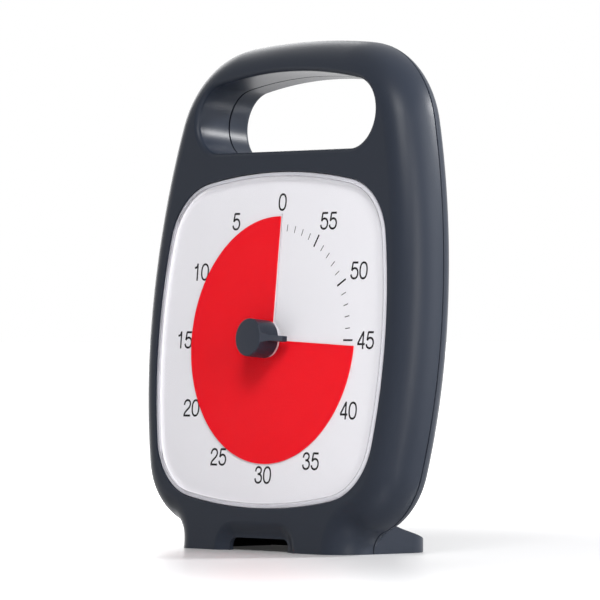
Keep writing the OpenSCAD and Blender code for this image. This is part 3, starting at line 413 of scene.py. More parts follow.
def material(name, color, rough=0.5, scale=2500, bump=0.1, vary=0.06, rough_vary=0.06,
             metallic=0.0, coat=0.0, alpha=1.0, spec=0.5):
    """Moulded or machined surface: fine grain in bump, slow change in colour and gloss."""
    m = bpy.data.materials.new(name)
    m.use_nodes = True
    nt = m.node_tree
    bsdf = nt.nodes["Principled BSDF"]
    bsdf.inputs["Metallic"].default_value = metallic
    bsdf.inputs["IOR"].default_value = 1.5
    bsdf.inputs["Alpha"].default_value = alpha
    bsdf.inputs["Coat Weight"].default_value = coat
    bsdf.inputs["Specular IOR Level"].default_value = spec
    tc = nt.nodes.new("ShaderNodeTexCoord")
    slow = nt.nodes.new("ShaderNodeTexNoise")
    slow.inputs["Scale"].default_value = 35
    slow.inputs["Detail"].default_value = 3
    nt.links.new(tc.outputs["Object"], slow.inputs["Vector"])
    shade = nt.nodes.new("ShaderNodeMix")
    shade.data_type = "RGBA"
    shade.inputs[6].default_value = tuple(c * (1 - vary) for c in color[:3]) + (1,)
    shade.inputs[7].default_value = tuple(min(1, c * (1 + vary)) for c in color[:3]) + (1,)
    nt.links.new(slow.outputs["Fac"], shade.inputs[0])
    nt.links.new(shade.outputs[2], bsdf.inputs["Base Color"])
    fine = nt.nodes.new("ShaderNodeTexNoise")
    fine.inputs["Scale"].default_value = scale
    fine.inputs["Detail"].default_value = 2
    nt.links.new(tc.outputs["Object"], fine.inputs["Vector"])
    matt = nt.nodes.new("ShaderNodeMapRange")
    matt.inputs["To Min"].default_value = max(0.02, rough - rough_vary)
    matt.inputs["To Max"].default_value = min(1, rough + rough_vary)
    nt.links.new(slow.outputs["Fac"], matt.inputs["Value"])
    nt.links.new(matt.outputs[0], bsdf.inputs["Roughness"])
    if bump:
        grain = nt.nodes.new("ShaderNodeBump")
        grain.inputs["Strength"].default_value = bump
        grain.inputs["Distance"].default_value = GRAIN_DEPTH
        nt.links.new(fine.outputs["Fac"], grain.inputs["Height"])
        nt.links.new(grain.outputs["Normal"], bsdf.inputs["Normal"])
    return m


CASE = material("case_plastic", srgb(35, 40, 50), rough=0.35, scale=2600, bump=0.35, vary=0.03,
                rough_vary=0.03, spec=0.14)
KNOB = material("knob_plastic", srgb(38, 43, 54), rough=0.36, scale=3000, bump=0.25, vary=0.03,
                rough_vary=0.03, spec=0.2)
DIAL = material("dial_plastic", srgb(236, 235, 240), rough=0.55, scale=1800, bump=0.05, vary=0.01, spec=0.2)
RED = material("disc_sheet", srgb(240, 4, 26), rough=0.5, scale=1500, bump=0.05, vary=0.02, spec=0.02)
PRINT = material("dial_print", srgb(20, 15, 19), rough=0.6, scale=2500, bump=0.05, vary=0.05, spec=0.1)
CLEAR = material("clear_plastic", srgb(205, 208, 212), rough=0.06, scale=300, bump=0.0, vary=0.0,
                 rough_vary=0.01, alpha=0.01, spec=0.5)
# Painted reflection: a pale, half-opaque colour on the lens bevel that stands in for the light the clear
# bevel bends and reflects
BEVEL_PAINTED_REFLECTION = material("clear_bevel_painted_reflection", srgb(216, 216, 224), rough=0.15, scale=600, bump=0.03, vary=0.01,
               rough_vary=0.02, alpha=0.6, spec=0.3)
# Painted shade: a grey, half-opaque colour on the narrow corner at the bevel's inner edge, standing in for
# the dark line the bevel's refraction makes
CORNER_PAINTED_SHADE = material("clear_corner_painted_shade", srgb(120, 118, 126), rough=0.3, scale=600, bump=0.03, vary=0.01,
                rough_vary=0.02, alpha=0.45, spec=0.3)
MATERIALS = {
    "steel": material("steel", srgb(186, 188, 192), rough=0.32, scale=1500, bump=0.08, metallic=1.0),
    "brass": material("brass", srgb(214, 176, 96), rough=0.3, scale=1500, bump=0.08, metallic=1.0),
    "gear_plastic": material("gear_plastic", srgb(226, 222, 205), rough=0.4, scale=1600, bump=0.05),
    "housing_plastic": material("housing_plastic", srgb(214, 210, 200), rough=0.5, scale=1600, bump=0.08),
    "copper_wire": material("copper_wire", srgb(176, 92, 44), rough=0.28, scale=5000, bump=0.3, coat=0.3),
    "magnet": material("magnet", srgb(66, 66, 70), rough=0.45, scale=2500, bump=0.1, metallic=0.6),
    "board": material("board", srgb(22, 92, 52), rough=0.3, scale=900, bump=0.1, coat=0.4, vary=0.12),
    "black_plastic": material("black_plastic", srgb(32, 32, 34), rough=0.45, scale=2200, bump=0.15),
    "battery_skin": material("battery_skin", srgb(70, 78, 90), rough=0.3, scale=900, bump=0.05, coat=0.3),
    "case_plastic": CASE, "knob_plastic": KNOB, "dial_plastic": DIAL, "disc_sheet": RED,
    "clear_plastic": CLEAR,
}
slots = {s["node"]: s["material_slot"] for s in frame["record"]["subparts"]}
for node, ob in frame["nodes"].items():
    for holder in ob.material_slots:
        holder.material = MATERIALS[slots[node]]


# --------------------------------------------------------------------- case
def edge_inset(y):
    """How far the rear's rounding has come in at depth y."""
    return REAR_IN * (1 - math.sqrt(1 - ((y - WIDE_Y) / REAR_DEEP) ** 2))


SEAM_INSET = edge_inset(SEAM)


def case_solid(section, h):
    """The case's outline drawn in by each d at its y, down to h above the floor."""
    return loft([case_loop(d, y, h) for d, y in section], [y for d, y in section])


def hand_hole():
    n = 8
    edge = [(HOLE_EDGE, -OVER)]
    for i in range(n + 1):
        a = math.radians(90 * i / n)
        edge.append((HOLE_EDGE * (1 - math.sin(a)), HOLE_EDGE * (1 - math.cos(a))))
    return stepped(hole_loop, [(d, FRONT + y) for d, y in edge] + [(d, BACK - y) for d, y in reversed(edge)])


def hole_groove():
    return plate(hole_loop(HOLE_GROOVE_DEEP), SEAM - HOLE_GROOVE_HALF, SEAM + HOLE_GROOVE_HALF)


FRONT_Y = DIAL_Y - DIAL_H * math.sin(LEAN) + FRONT


def arch(out, depth):
    """The slot's outline, out wider and higher, on a plane depth behind the case's front."""
    half_w, h, r = ARCH_HALF_W + out, UNDER_H + out, ARCH_CORNER_R + out
    loop = [(-half_w, -OVER)]
    for s, a0, a1 in ((-1, 180, 90), (1, 90, 0)):
        loop += [(s * (half_w - r) + r * math.cos(t), h - r + r * math.sin(t))
                 for t in np.radians(np.linspace(a0, a1, 9))]
    loop.append((half_w, -OVER))
    return [(x, FRONT_Y + depth + z * math.tan(LEAN), z) for x, z in loop]


def underside():
    """The slot through the front of the foot with the scoop round it, and the hollows behind it."""
    wide = ARCH_FLARE + SCOOP_WIDER
    scoop = [(wide * (1 - t), SCOOP_DEEP * t * t * (3 - 2 * t) - SCOOP_PROUD) for t in np.linspace(0, 1, 14)]
    slot = skin([arch(*at) for at in [(wide, -OVER)] + scoop + [(0, ARCH_DEEP)]], placed=False)
    hollow = block((-UNDER_HALF_W, FRONT_Y + UNDER_START, -OVER),
                   (UNDER_HALF_W, DIAL_Y + FOOT_BACK - UNDER_BACK_WALL, UNDER_H), placed=False)
    lift = block((-UNDER_HALF_W, 0, -OVER), (UNDER_HALF_W, FOOT_BACK * 2, UNDER_BACK_H), placed=False)
    return [slot, hollow, lift]


def under_floor():
    """The hollow under the foot with its wall, to be left out of the inside."""
    return block((-UNDER_HALF_W - WALL, -UNDER_REACH, -OVER),
                 (UNDER_HALF_W + WALL, UNDER_REACH, UNDER_H + WALL + OVER), placed=False)


def front_shell():
    n, inner_n = 18, 6
    groove = SEAM_INSET + GROOVE_DEEP
    turns = [math.pi / 2 * i / n for i in range(n + 1)]
    outer = [(EDGE_IN * (1 - math.sin(a)), WIDE_Y - EDGE_DEEP * math.cos(a)) for a in turns]
    for i in (1, 2, 3):
        y = WIDE_Y + (SEAM - GROOVE_HALF - GROOVE_EASE - WIDE_Y) * i / 3
        outer.append((edge_inset(y), y))
    outer += [(SEAM_INSET + GROOVE_ROUND, SEAM - GROOVE_HALF), (groove, SEAM - GROOVE_HALF + HAIR),
              (groove, SEAM)]
    shell = case_solid(outer, 0)
    turns = [math.radians(90 * i / inner_n) for i in range(inner_n + 1)]
    inner = [(WALL + EDGE_SHARE * EDGE_IN * (1 - math.sin(a)), WIDE_Y - (EDGE_DEEP - WALL) * math.cos(a))
             for a in turns]
    hollow = case_solid(inner + [(WALL + SEAM_INSET, SEAM + OVER)], WALL)
    cut(hollow, plate(hole_loop(WALL), FRONT, SEAM + 2 * OVER),
        *rods(CASE_SCREWS, CASE_BOSS_R, FRONT, CASE_BOSS_END),
        *rods(TRAY_SCREWS, TRAY_BOSS_R, FRONT, TRAY_T, 24), under_floor())
    lip = [(LIP, FRONT - OVER), (LIP, FRONT), (LIP_LOW, FRONT + LIP_LOW), (0, FRONT + LIP),
           (0, FRONT_IN + OVER)]
    cut(shell, hollow, hand_hole(), hole_groove(),
        stepped(window_loop, lip),
        *rods(CASE_SCREWS, CASE_BORE_R, FRONT_IN + CASE_BORE_SKIN, CASE_BORE_END, 24),
        *rods(TRAY_SCREWS, TRAY_BORE_R, FRONT + TRAY_BORE_START, TRAY_T + OVER, 24), *underside())
    return finish_piece(shell, "front_shell", "housing", CASE, ["front_case"])


def foot_start(h):
    """Where the foot's section starts, h above the floor: just behind the seam."""
    y = SEAM + GROOVE_HALF + FOOT_GAP
    return y * math.cos(LEAN) + level(y, h) * math.sin(LEAN)


def foot():
    side = FOOT_HALF_W - SEAM_INSET
    slope = (FOOT_HIGH - FOOT_LOW) / (FOOT_BACK - WEDGE_END)
    rise = FOOT_HIGH + slope * (WEDGE_Y - foot_start(FOOT_HIGH))
    plan = [(-side, DIAL_Y - FOOT_ROOT)]
    for a in np.radians(range(0, 91, 6)):
        plan.append((-side + FOOT_CORNER_R - FOOT_CORNER_R * math.cos(a),
                     DIAL_Y + FOOT_BACK - FOOT_CORNER_R + FOOT_CORNER_R * math.sin(a)))
    plan += [(-x, y) for x, y in reversed(plan)]
    upright = skin([[(x, y, z) for x, y in plan] for z in (0, FOOT_HIGH + 5 * OVER)], placed=False)
    prof = [(foot_start(0), 0), (FOOT_BACK - FOOT_LIFT_RUN, 0)]
    for a in np.radians((20, 40, 60, 80)):
        prof.append((FOOT_BACK - FOOT_LIFT_R + FOOT_LIFT_R * math.sin(a),
                     FOOT_LIFT + FOOT_LIFT_R - FOOT_LIFT_R * math.cos(a)))
    nose = np.array([FOOT_BACK - WEDGE_NOSE_R, FOOT_LOW - WEDGE_NOSE_DROP])
    prof += [tuple(nose + WEDGE_NOSE_R * unit(a)) for a in np.linspace(0, 70, 10)]
    prof += [(WEDGE_Y, FOOT_HIGH), (foot_start(rise), rise)]
    across = skin([[(x, DIAL_Y + y, z) for y, z in prof] for x in (-FOOT_HALF_W - OVER, FOOT_HALF_W + OVER)],
                  placed=False)
    return keep(upright, across)


def bay(grow, y0, y1):
    return block((-BAY_HALF_L - grow, y0, BATTERY_Z - BAY_HALF_H - grow),
                 (BAY_HALF_L + grow, y1, BATTERY_Z + BAY_HALF_H + grow))


def door_loop(grow):
    return round_rect((0, BATTERY_Z), DOOR_HALF_W + grow, DOOR_H / 2 + grow, DOOR_CORNER_R)


def sound_slots():
    mid = (SOUND_SLOTS - 1) // 2
    loops = []
    for i in range(-mid, mid + 1):
        x = i * SOUND_PITCH
        at = (SPEAKER_AT[0] + x, SPEAKER_AT[1])
        half_h = math.sqrt(SOUND_R * SOUND_R - x * x) - SOUND_SHORTER + SOUND_HALF_W
        loops.append(round_rect(at, SOUND_HALF_W, half_h, SOUND_HALF_W - HAIR))
    return [plate(loop, BACK_IN - OVER, BACK + OVER) for loop in loops]


def rear_shell():
    n, inner_n = 18, 7
    groove = SEAM_INSET + GROOVE_DEEP
    start = math.asin((SEAM + GROOVE_HALF + GROOVE_EASE - WIDE_Y) / REAR_DEEP)
    outer = [(groove, SEAM), (groove, SEAM + GROOVE_HALF - HAIR),
             (SEAM_INSET + GROOVE_ROUND, SEAM + GROOVE_HALF)]
    for i in range(n + 1):
        a = start + (math.pi / 2 - start) * i / n
        outer.append((REAR_IN * (1 - math.cos(a)), WIDE_Y + REAR_DEEP * math.sin(a)))
    shell = case_solid(outer, 0)
    start = math.asin(REAR_INNER_START / REAR_DEEP)
    inner = [(WALL + SEAM_INSET, SEAM - OVER)]
    for i in range(inner_n + 1):
        a = start + (math.pi / 2 - start) * i / inner_n
        inner.append((WALL + (REAR_IN - WALL) * (1 - math.cos(a)),
                      WIDE_Y + (REAR_DEEP - WALL) * math.sin(a)))
    hollow = case_solid(inner, WALL)
    ring = cut(rod(SPEAKER_AT, SPEAKER_R + SPEAKER_WALL, BACK_IN - SPEAKER_DEEPER - SPEAKER_T, BACK),
               rod(SPEAKER_AT, SPEAKER_R + SPEAKER_GAP, BACK_IN - 2 * OVER - SPEAKER_T, BACK_IN))
    bay_out, volume_r = (BAY_WALL, BAY_FRONT - BAY_WALL), VOLUME_R + VOLUME_GAP
    cut(hollow, plate(hole_loop(WALL), SEAM - 2 * OVER, BACK),
        *rods(CASE_SCREWS, CASE_HEAD_R + CASE_HEAD_WALL, CASE_BOSS_END, BACK),
        plate(door_loop(WALL), DOOR_SEAT - WALL, BACK), bay(*bay_out, BACK),
        *rods(DOOR_SCREWS, DOOR_BOSS_R, BATTERY_Y, BACK),
        rod(VOLUME_AT, volume_r + WALL, VOLUME_SEAT - WALL, BACK, 72), ring, under_floor())
    cut(shell, hollow)
    join(shell, *rods(CASE_SCREWS, CASE_BOSS_R, CASE_BOSS_END + CONTACT, SEAM + 2 * OVER),
         bay(*bay_out, SEAM + 2 * OVER), *rods(DOOR_SCREWS, DOOR_BOSS_R, BATTERY_Y, SEAM + 2 * OVER), foot())
    cut(shell, hand_hole(), hole_groove(),
        *rods(CASE_SCREWS, CASE_SCREW_R, CASE_SCREW_START, CASE_HEAD_SEAT + OVER, 24),
        *rods(CASE_SCREWS, CASE_HEAD_R, CASE_HEAD_SEAT, BACK + OVER),
        plate(door_loop(0), DOOR_SEAT, BACK + OVER), bay(0, BAY_FRONT, BACK + OVER),
        *rods(DOOR_SCREWS, DOOR_BORE_R, BATTERY_Y + DOOR_BORE_FLOOR, BACK + OVER, 24),
        rod(VOLUME_AT, volume_r, VOLUME_SEAT, BACK + OVER, 96),
        rod(VOLUME_AT, VOLUME_HOLE_R, VOLUME_SEAT - WALL - OVER, BACK), *sound_slots(), *underside())
    return finish_piece(shell, "rear_shell", "housing", CASE, ["rear_case"])


front_shell()
rear_shell()


# --------------------------------------------------------------------- dial
def lens():
    """The clear pane: its bevel gets a painted reflection and the corner at the bevel's inner edge a painted
    shade, each picked by the face's slope.
    """
    bevel_end = FRONT + LENS_T / 2
    pane = stepped(window_loop, [(-LENS_GAP - LENS_BEVEL - LENS_FLAT_IN, FRONT),
                                 (-LENS_GAP - LENS_BEVEL, FRONT + LENS_CORNER),
                                 (-LENS_GAP - LENS_CORNER_DEEP, bevel_end - LENS_CORNER_DEEP),
                                 (-LENS_GAP, bevel_end + LENS_EDGE), (-LENS_GAP, LENS_BACK)])
    join(pane, rod((0, 0), COLLAR_R, FRONT - COLLAR_OUT, FRONT + LENS_EDGE, 96))
    cut(pane, rod((0, 0), SPINDLE_R + LENS_ROOM, FRONT - 2 * OVER, LENS_BACK + OVER, 64))
    ob = finish_piece(pane, "lens_pane", "housing", [CLEAR, BEVEL_PAINTED_REFLECTION, CORNER_PAINTED_SHADE], ["lens"])
    upright = PLACED.inverted().to_3x3()
    # By slope: the bevel gets the painted reflection, its inner corner the painted shade, the flat pane the
    # clear plastic
    for p in ob.data.polygons:
        facing = abs((upright @ p.normal).y)
        p.material_index = 1 if facing < BEVEL_FACING else 2 if facing < CORNER_FACING else 0
    return ob


def dial():
    """The tray: a flange behind the case, a sloping rim inside the window, posts and the slit."""
    inside = case_loop(WALL + EDGE_SHARE * EDGE_IN + TRAY_ROOM, 0, 0)
    tray = keep(plate(window_loop(TRAY_FLANGE), FRONT_IN, TRAY_T),
                plate(inside, FRONT_IN - OVER, TRAY_T + OVER))
    join(tray, plate(window_loop(-LENS_GAP), LENS_BACK, TRAY_T - TRAY_SHORT),
         *rods(POSTS, POST_R, TRAY_T - POST_ROOT, POST_END),
         *rods(BOARD_POSTS, BOARD_POST_R, TRAY_T - POST_ROOT, BOARD_POST_END))
    rim, n = [(-RIM_IN, LENS_BACK - RIM_START), (-RIM_IN, LENS_BACK)], 6
    for i in range(n + 1):
        a, f = math.radians(90 * i / n), (1 - RIM_CURVE) * i / n
        rim.append((-RIM_IN - TRAY_SLOPE * (1 - math.cos(a)) * RIM_CURVE - TRAY_SLOPE * f,
                    LENS_BACK - LENS_BACK * (math.sin(a) * RIM_CURVE + f)))
    low, high = SPINDLE_R + SLIT_INNER, DISC_R + SLIT_PAST
    slit = [(SHEET_X + DISC_T / 2 + side * SLIT_W / 2, z)
            for side, z in ((-1, high), (1, high), (1, low), (-1, low))]
    cut(tray, stepped(window_loop, rim),
        plate(slit, -OVER, TRAY_T + OVER), rod((0, 0), SPINDLE_R + HUB_GAP, -OVER, TRAY_T + OVER),
        *rods(POSTS, POST_BORE_R, POST_BORE_START, POST_END + OVER, 24),
        *rods(BOARD_POSTS, POST_BORE_R, BOARD_BORE_START, BOARD_POST_END + OVER, 24),
        *rods(TRAY_SCREWS, TRAY_BOSS_R + NOTCH_GAP, FRONT_IN - OVER, TRAY_T + OVER, 24))
    return finish_piece(tray, "dial_plate", "housing", DIAL, ["dial_tray"])


lens()
dial()


def ticks():
    pts, fs = [], []
    for m in range(1, 60):
        r0, r1, w = HOUR_TICK if m % 5 == 0 else MINUTE_TICK
        u = unit(90 + 6 * m)
        v = np.array([-u[1], u[0]])
        corners = [u * r0 - v * w, u * r1 - v * w, u * r1 + v * w, u * r0 + v * w]
        b = len(pts)
        pts += [(p[0], y, p[1]) for y in (-INK, INK_SUNK) for p in corners]
        fs += [(b, b + 1, b + 2, b + 3), (b + 7, b + 6, b + 5, b + 4)]
        fs += [(b + i, b + 4 + i, b + 4 + (i + 1) % 4, b + (i + 1) % 4) for i in range(4)]
    return finish_piece(solid(pts, fs), "dial_ticks", "housing", PRINT, weighted=False)


def bulge(x):
    """A sine or cosine pressed outwards, which makes a ring fuller than an ellipse."""
    return math.copysign(abs(x) ** 0.86, x)


# Centre lines of the figures, in a box one high: smooth curves and straight bars
FIGURE_MID = 0.345
GLYPHS = {
    "0": [[(FIGURE_MID + 0.29 * bulge(math.cos(a)), 0.5 + 0.447 * bulge(math.sin(a)))
           for a in np.linspace(0, 2 * math.pi, 41)]],
    "1": [[(0.42, 0.0), (0.42, 0.5), (0.42, 1.0)],
          [(0.15, 0.74), (0.25, 0.755), (0.34, 0.80), (0.39, 0.88), (0.41, 0.99)]],
    "2": [[(0.075, 0.655), (0.095, 0.77), (0.165, 0.88), (0.27, 0.94), (0.36, 0.948), (0.47, 0.925),
           (0.56, 0.855), (0.598, 0.75), (0.59, 0.655), (0.545, 0.56), (0.455, 0.465), (0.335, 0.375),
           (0.215, 0.275), (0.13, 0.17), (0.095, 0.052)],
          [(0.04, 0.052), (0.34, 0.052), (0.645, 0.052)]],
    "3": [[(0.085, 0.69), (0.105, 0.81), (0.18, 0.905), (0.28, 0.945), (0.38, 0.943), (0.485, 0.90),
           (0.548, 0.82), (0.553, 0.725), (0.515, 0.635), (0.445, 0.575), (0.36, 0.55), (0.265, 0.545)],
          [(0.265, 0.545), (0.385, 0.542), (0.50, 0.505), (0.585, 0.42), (0.613, 0.31), (0.59, 0.19),
           (0.51, 0.10), (0.40, 0.058), (0.29, 0.056), (0.175, 0.095), (0.095, 0.185), (0.065, 0.30)]],
    "4": [[(0.505, 0.0), (0.505, 0.5), (0.505, 1.0)], [(0.035, 0.275), (0.35, 0.275), (0.66, 0.275)],
          [(0.07, 0.29), (0.28, 0.62), (0.49, 0.95)]],
    "5": [[(0.15, 0.948), (0.38, 0.948), (0.61, 0.948)], [(0.175, 0.948), (0.14, 0.72), (0.105, 0.49)],
          [(0.105, 0.49), (0.18, 0.578), (0.285, 0.628), (0.38, 0.632), (0.49, 0.60), (0.575, 0.52),
           (0.617, 0.41), (0.617, 0.29), (0.575, 0.175), (0.49, 0.09), (0.38, 0.055), (0.28, 0.055),
           (0.17, 0.095), (0.09, 0.17), (0.055, 0.28)]]}
FIGURE_H, FIGURE_STEP, STROKE = 6.1, 4.55, 0.12
FIGURE_RING, FIGURE_X = 48.2, 0.6
# How far right and up these numbers stand off their places on the ring
NUDGE = {25: (-1, 0.6), 30: (-0.6, 1.2), 50: (0.7, -0.2), 55: (0.9, -0.5)}


def smooth(pts, n=4):
    """A curve through the points, or a straight bar where there are three."""
    p = [np.array(q, float) for q in pts]
    if len(p) == 3:
        return [p[0], p[2]]
    ends = (p[-2], p[1]) if np.allclose(p[0], p[-1]) else (2 * p[0] - p[1], 2 * p[-1] - p[-2])
    p = [ends[0]] + p + [ends[1]]
    out = []
    for i in range(1, len(p) - 2):
        a, b, c, d = p[i - 1:i + 3]
        for j in range(n):
            t = j / n
            out.append(0.5 * (2 * b + (c - a) * t + (2 * a - 5 * b + 4 * c - d) * t * t
                              + (3 * b - a - 3 * c + d) * t ** 3))
    return out + [p[-2]]


def stroke(pts):
    """A flat ribbon of even width along a figure's centre line."""
    line = smooth(pts)
    ring = np.allclose(line[0], line[-1])
    if ring:
        line = line[:-1]
    n = len(line)
    left, right = [], []
    for i in range(n):
        a = line[i - 1] if i or ring else line[i]
        b = line[(i + 1) % n] if i < n - 1 or ring else line[i]
        d = (b - a) / np.linalg.norm(b - a)
        side = np.array([-d[1], d[0]]) * STROKE / 2
        left.append(line[i] + side)
        right.append(line[i] - side)
    pts = [(q[0] * FIGURE_H, y, q[1] * FIGURE_H) for y in (-INK, INK_SUNK) for q in left + right]
    m = 2 * n
    fs = []
    for i in range(n if ring else n - 1):
        j = (i + 1) % n
        fs += [(i, n + i, n + j, j), (m + i, m + j, m + n + j, m + n + i),
               (i, j, m + j, m + i), (n + i, m + n + i, m + n + j, n + j)]
    if not ring:
        fs += [(0, m, m + n, n), (n - 1, 2 * n - 1, m + 2 * n - 1, m + n - 1)]
    return solid(pts, fs, placed=False)


def glyph(c):
    """One figure: its strokes joined."""
    first, *others = [stroke(pts) for pts in GLYPHS[c]]
    if others:
        join(first, *others)
    return first


def numbers():
    shapes = {c: glyph(c) for c in "012345"}
    bm = bmesh.new()
    for minute in range(0, 60, 5):
        a = math.radians(90 + 6 * minute)
        text = str(minute)
        dx, dz = NUDGE.get(minute, (0, 0))
        for i, c in enumerate(text):
            me = shapes[c].data.copy()
            x = (FIGURE_X + dx + FIGURE_RING * math.cos(a) - FIGURE_MID * FIGURE_H
                 + FIGURE_STEP * (i - (len(text) - 1) / 2))
            z = dz + FIGURE_RING * math.sin(a) - FIGURE_H / 2
            me.transform(PLACED @ Matrix.Translation((x * MM, 0, z * MM)))
            bm.from_mesh(me)
            bpy.data.meshes.remove(me)
    for ob in shapes.values():
        bpy.data.objects.remove(ob)
    me = bpy.data.meshes.new("dial_numbers")
    bm.to_mesh(me)
    bm.free()
    ob = add_object("dial_numbers", me)
    return finish_piece(ob, "dial_numbers", "housing", PRINT, weighted=False)


ticks()
numbers()


# --------------------------------------------------------------- time disc
def sheet(name, a0, a1, y0):
    """A ring sector of the red sheet from angle a0 to a1, its first edge in the slit.

    It is blended by its angle: still with the housing at the first edge, and turning with the
    spindle at the other.
    """
    n, rows = 150, 12
    r0 = SPINDLE_R + SHEET_HUB_GAP
    radii = [r0 + (DISC_R - r0) * j / rows for j in range(rows + 1)]
    pts, fs, shares = [], [], []
    for i in range(n + 1):
        a = math.radians(a0 + (a1 - a0) * i / n)
        for r in radii:
            for y in (y0, y0 + DISC_T):
                pts.append((r * math.cos(a), y, r * math.sin(a)))
                shares.append(i / n)

    def at(i, j, k):
        return (i * (rows + 1) + j) * 2 + k

    for i in range(n):
        for j in range(rows):
            fs.append((at(i, j, 0), at(i + 1, j, 0), at(i + 1, j + 1, 0), at(i, j + 1, 0)))
            fs.append((at(i, j, 1), at(i, j + 1, 1), at(i + 1, j + 1, 1), at(i + 1, j, 1)))
        fs.append((at(i, 0, 0), at(i, 0, 1), at(i + 1, 0, 1), at(i + 1, 0, 0)))
        fs.append((at(i, rows, 0), at(i + 1, rows, 0), at(i + 1, rows, 1), at(i, rows, 1)))
    for j in range(rows):
        fs.append((at(0, j, 0), at(0, j + 1, 0), at(0, j + 1, 1), at(0, j, 1)))
        fs.append((at(n, j, 0), at(n, j, 1), at(n, j + 1, 1), at(n, j + 1, 0)))
    me = bpy.data.meshes.new(name)
    me.from_pydata([tuple(c * MM for c in p) for p in pts], [], fs)
    me.transform(PLACED)
    me.materials.append(RED)
    me.shade_smooth()
    me.set_sharp_from_angle(angle=SHARP)
    ob = add_object(name, me)
    middle, reach = PLACED @ Vector((0, y0 * MM, 0)), Vector((BLEND_REACH * MM, 0, 0))
    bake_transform(ob, "housing", "spindle_set", start=tuple(middle + reach), end=tuple(middle - reach))
    me.attributes["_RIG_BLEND"].data.foreach_set("value", np.array(shares, np.float32))
    return ob


SLIT_ANGLE = 90 - math.degrees(math.atan2(SHEET_X + DISC_T / 2, DISC_R))
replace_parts(sheet("disc_front", SLIT_ANGLE, EDGE_ANGLE, DISC_FRONT), "time_disc")
sheet("disc_rear", SLIT_ANGLE, EDGE_ANGLE - 360, DISC_BACK)


# --------------------------------------------------------------------- knob
def knob():
    front, n = -KNOB_OUT, 8
    prof = [(0, KNOB_BACK), (KNOB_R - KNOB_BACK_EASE, KNOB_BACK),
            (KNOB_R - KNOB_EASE_R, KNOB_BACK - KNOB_EASE_Y),
            (KNOB_R, KNOB_BACK - KNOB_BACK_EASE)]
    for i in range(n + 1):
        a = math.radians(90 * i / n)
        prof.append((KNOB_R - KNOB_EDGE + KNOB_EDGE * math.cos(a),
                     front + KNOB_EDGE - KNOB_EDGE * math.sin(a)))
    prof.append((0, front))
    body = lathe(prof, 128)
    side = [(POINTER_FOOT, front + POINTER_INSET), (KNOB_R - POINTER_STEP, front + POINTER_INSET)]
    for a in np.radians(np.linspace(-35, 0, 8)):
        side.append((POINTER_REACH - POINTER_TIP_R + POINTER_TIP_R * math.cos(a),
                     KNOB_BACK - POINTER_TIP_R + POINTER_TIP_R * math.sin(a)))
    side += [(POINTER_REACH, KNOB_BACK - POINTER_INSET), (POINTER_FOOT, KNOB_BACK - POINTER_INSET)]
    pointer = skin([[(x, y, z) for x, y in side] for z in (-POINTER_HALF_H, POINTER_HALF_H)], placed=False)
    w, waist = POINTER_T / 2, front + POINTER_FLARE
    flare = [(front, -2 * w), (waist, -w), (KNOB_BACK, -w), (KNOB_BACK, w), (waist, w), (front, 2 * w)]
    keep(pointer, skin([[(x, y, z) for y, z in flare] for x in (0, POINTER_REACH + OVER)], placed=False))
    pointer.data.transform(PLACED @ Matrix.Rotation(-math.radians(POINTER_TURN), 4, "Y"))
    join(body, pointer)
    cut(body, rod((0, 0), SPINDLE_R + KNOB_BORE_GAP, KNOB_BACK - KNOB_BORE, KNOB_BACK + OVER))
    ob = finish_piece(body, "setting_knob", None, KNOB, ["knob"], weighted=False)
    edges = ob.modifiers.new("edges", "BEVEL")
    edges.width, edges.segments = KNOB_BEVEL * MM, 3
    edges.limit_method, edges.angle_limit = "ANGLE", math.radians(40)
    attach(ob, "spindle_set")
    return ob


knob()


# --------------------------------------------------------- floor and lights
FLOOR_HALF, FLOOR_DROP, FLOOR_GLOSS = 30, 0.00002, 0.3
FLOOR_FADE = {"From Min": 0.10, "From Max": 0.55, "To Min": 0.03, "To Max": 1.0}
AMBIENT = 0.14


def shown(nt):
    """One for the rays that show the background: camera, glossy and transmission."""
    lp = nt.nodes.new("ShaderNodeLightPath")
    out = lp.outputs["Is Camera Ray"]
    for ray in ("Is Glossy Ray", "Is Transmission Ray"):
        either = nt.nodes.new("ShaderNodeMath")
        either.operation = "MAXIMUM"
        nt.links.new(out, either.inputs[0])
        nt.links.new(lp.outputs[ray], either.inputs[1])
        out = either.outputs[0]
    return out


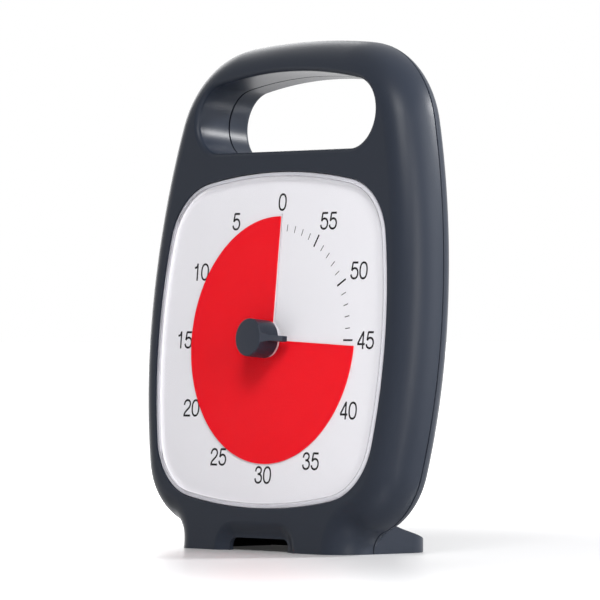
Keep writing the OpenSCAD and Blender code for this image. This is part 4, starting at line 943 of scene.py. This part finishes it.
def floor():
    """A pale plane that keeps the shadow and fades to the white background with the distance."""
    me = bpy.data.meshes.new("floor")
    s = FLOOR_HALF
    me.from_pydata([(-s, -s, 0), (s, -s, 0), (s, s, 0), (-s, s, 0)], [], [(0, 1, 2, 3)])
    ob = add_object("floor", me)
    ob.location.z = -FLOOR_DROP
    m = bpy.data.materials.new("floor")
    m.use_nodes = True
    nt = m.node_tree
    nt.nodes.remove(nt.nodes["Principled BSDF"])
    diff = nt.nodes.new("ShaderNodeBsdfDiffuse")
    diff.inputs["Color"].default_value = (0.52, 0.52, 0.53, 1)
    gloss = nt.nodes.new("ShaderNodeBsdfGlossy")
    gloss.inputs["Roughness"].default_value = 0.3
    gloss.inputs["Color"].default_value = (1, 1, 1, 1)
    mix = nt.nodes.new("ShaderNodeMixShader")
    mix.inputs[0].default_value = FLOOR_GLOSS
    nt.links.new(diff.outputs[0], mix.inputs[1])
    nt.links.new(gloss.outputs[0], mix.inputs[2])
    place = nt.nodes.new("ShaderNodeTexCoord")
    far = nt.nodes.new("ShaderNodeVectorMath")
    far.operation = "LENGTH"
    nt.links.new(place.outputs["Object"], far.inputs[0])
    fade = nt.nodes.new("ShaderNodeMapRange")
    fade.interpolation_type = "SMOOTHSTEP"
    for name, value in FLOOR_FADE.items():
        fade.inputs[name].default_value = value
    nt.links.new(far.outputs["Value"], fade.inputs["Value"])
    seen = nt.nodes.new("ShaderNodeMath")
    seen.operation = "MULTIPLY"
    nt.links.new(fade.outputs[0], seen.inputs[1])
    nt.links.new(shown(nt), seen.inputs[0])
    glow = nt.nodes.new("ShaderNodeEmission")
    nt.links.new(seen.outputs[0], glow.inputs["Strength"])
    add = nt.nodes.new("ShaderNodeAddShader")
    nt.links.new(mix.outputs[0], add.inputs[0])
    nt.links.new(glow.outputs[0], add.inputs[1])
    nt.links.new(add.outputs[0], nt.nodes["Material Output"].inputs["Surface"])
    me.materials.append(m)


def studio():
    """A white world for the rays that show it, and a dim one for all the others."""
    world = bpy.data.worlds.new("studio")
    world.use_nodes = True
    nt = world.node_tree
    bg = nt.nodes["Background"]
    seen = nt.nodes.new("ShaderNodeMapRange")
    seen.inputs["To Min"].default_value = AMBIENT
    seen.inputs["To Max"].default_value = 1.0
    nt.links.new(shown(nt), seen.inputs["Value"])
    nt.links.new(seen.outputs[0], bg.inputs["Strength"])
    bg.inputs["Color"].default_value = (1, 1, 1, 1)
    return world


floor()
scene = bpy.context.scene
scene.world = studio()

CENTRE = Vector((0, DIAL_Y * MM, 0.09))


def lamp(name, az, el, dist, w, h, power, color=(1, 1, 1)):
    """A soft box, az degrees round from the front and el degrees up, turned to the part."""
    d = bpy.data.lights.new(name, "AREA")
    d.shape, d.size, d.size_y, d.energy, d.color = "RECTANGLE", w, h, power, color
    ob = add_object(name, d)
    a, e = math.radians(az), math.radians(el)
    way = Vector((math.sin(a) * math.cos(e), -math.cos(a) * math.cos(e), math.sin(e)))
    ob.location = CENTRE + way * dist
    ob.rotation_mode = "QUATERNION"
    ob.rotation_quaternion = way.to_track_quat("Z", "Y")
    ob.visible_camera = False


lamp("key", 46, 42, 1.0, 0.34, 0.34, 6.7)
lamp("strip_side", 73, 2, 1.0, 0.17, 1.1, 7.5, (1, 0.98, 0.95))
lamp("strip_back", 114, 14, 1.1, 0.4, 1.0, 6, (0.95, 0.98, 1))
lamp("high_back", 145, 31, 1.0, 0.15, 0.15, 12)
lamp("fill_back", -115, 12, 1.1, 0.6, 0.9, 4)


# ------------------------------------------------------------------- camera
# The angle, the aim and the lens come from fitting the outline to the photo.
AZ, EL, DIST = math.radians(48.97), math.radians(-0.38), 1.75
back = Vector((math.sin(AZ) * math.cos(EL), -math.cos(AZ) * math.cos(EL), math.sin(EL)))
target = Vector((14.78 * MM, DIAL_Y * MM, (DIAL_H + 13.84) * MM))
cam = bpy.data.cameras.new("camera")
cam.lens, cam.sensor_width = 304.1, 36
cam.clip_start, cam.clip_end = 0.05, 100
camera = add_object("camera", cam)
camera.location = target + back * DIST
camera.rotation_mode = "QUATERNION"
camera.rotation_quaternion = back.to_track_quat("Z", "Y")
scene.camera = camera
scene.view_settings.view_transform = "Standard"
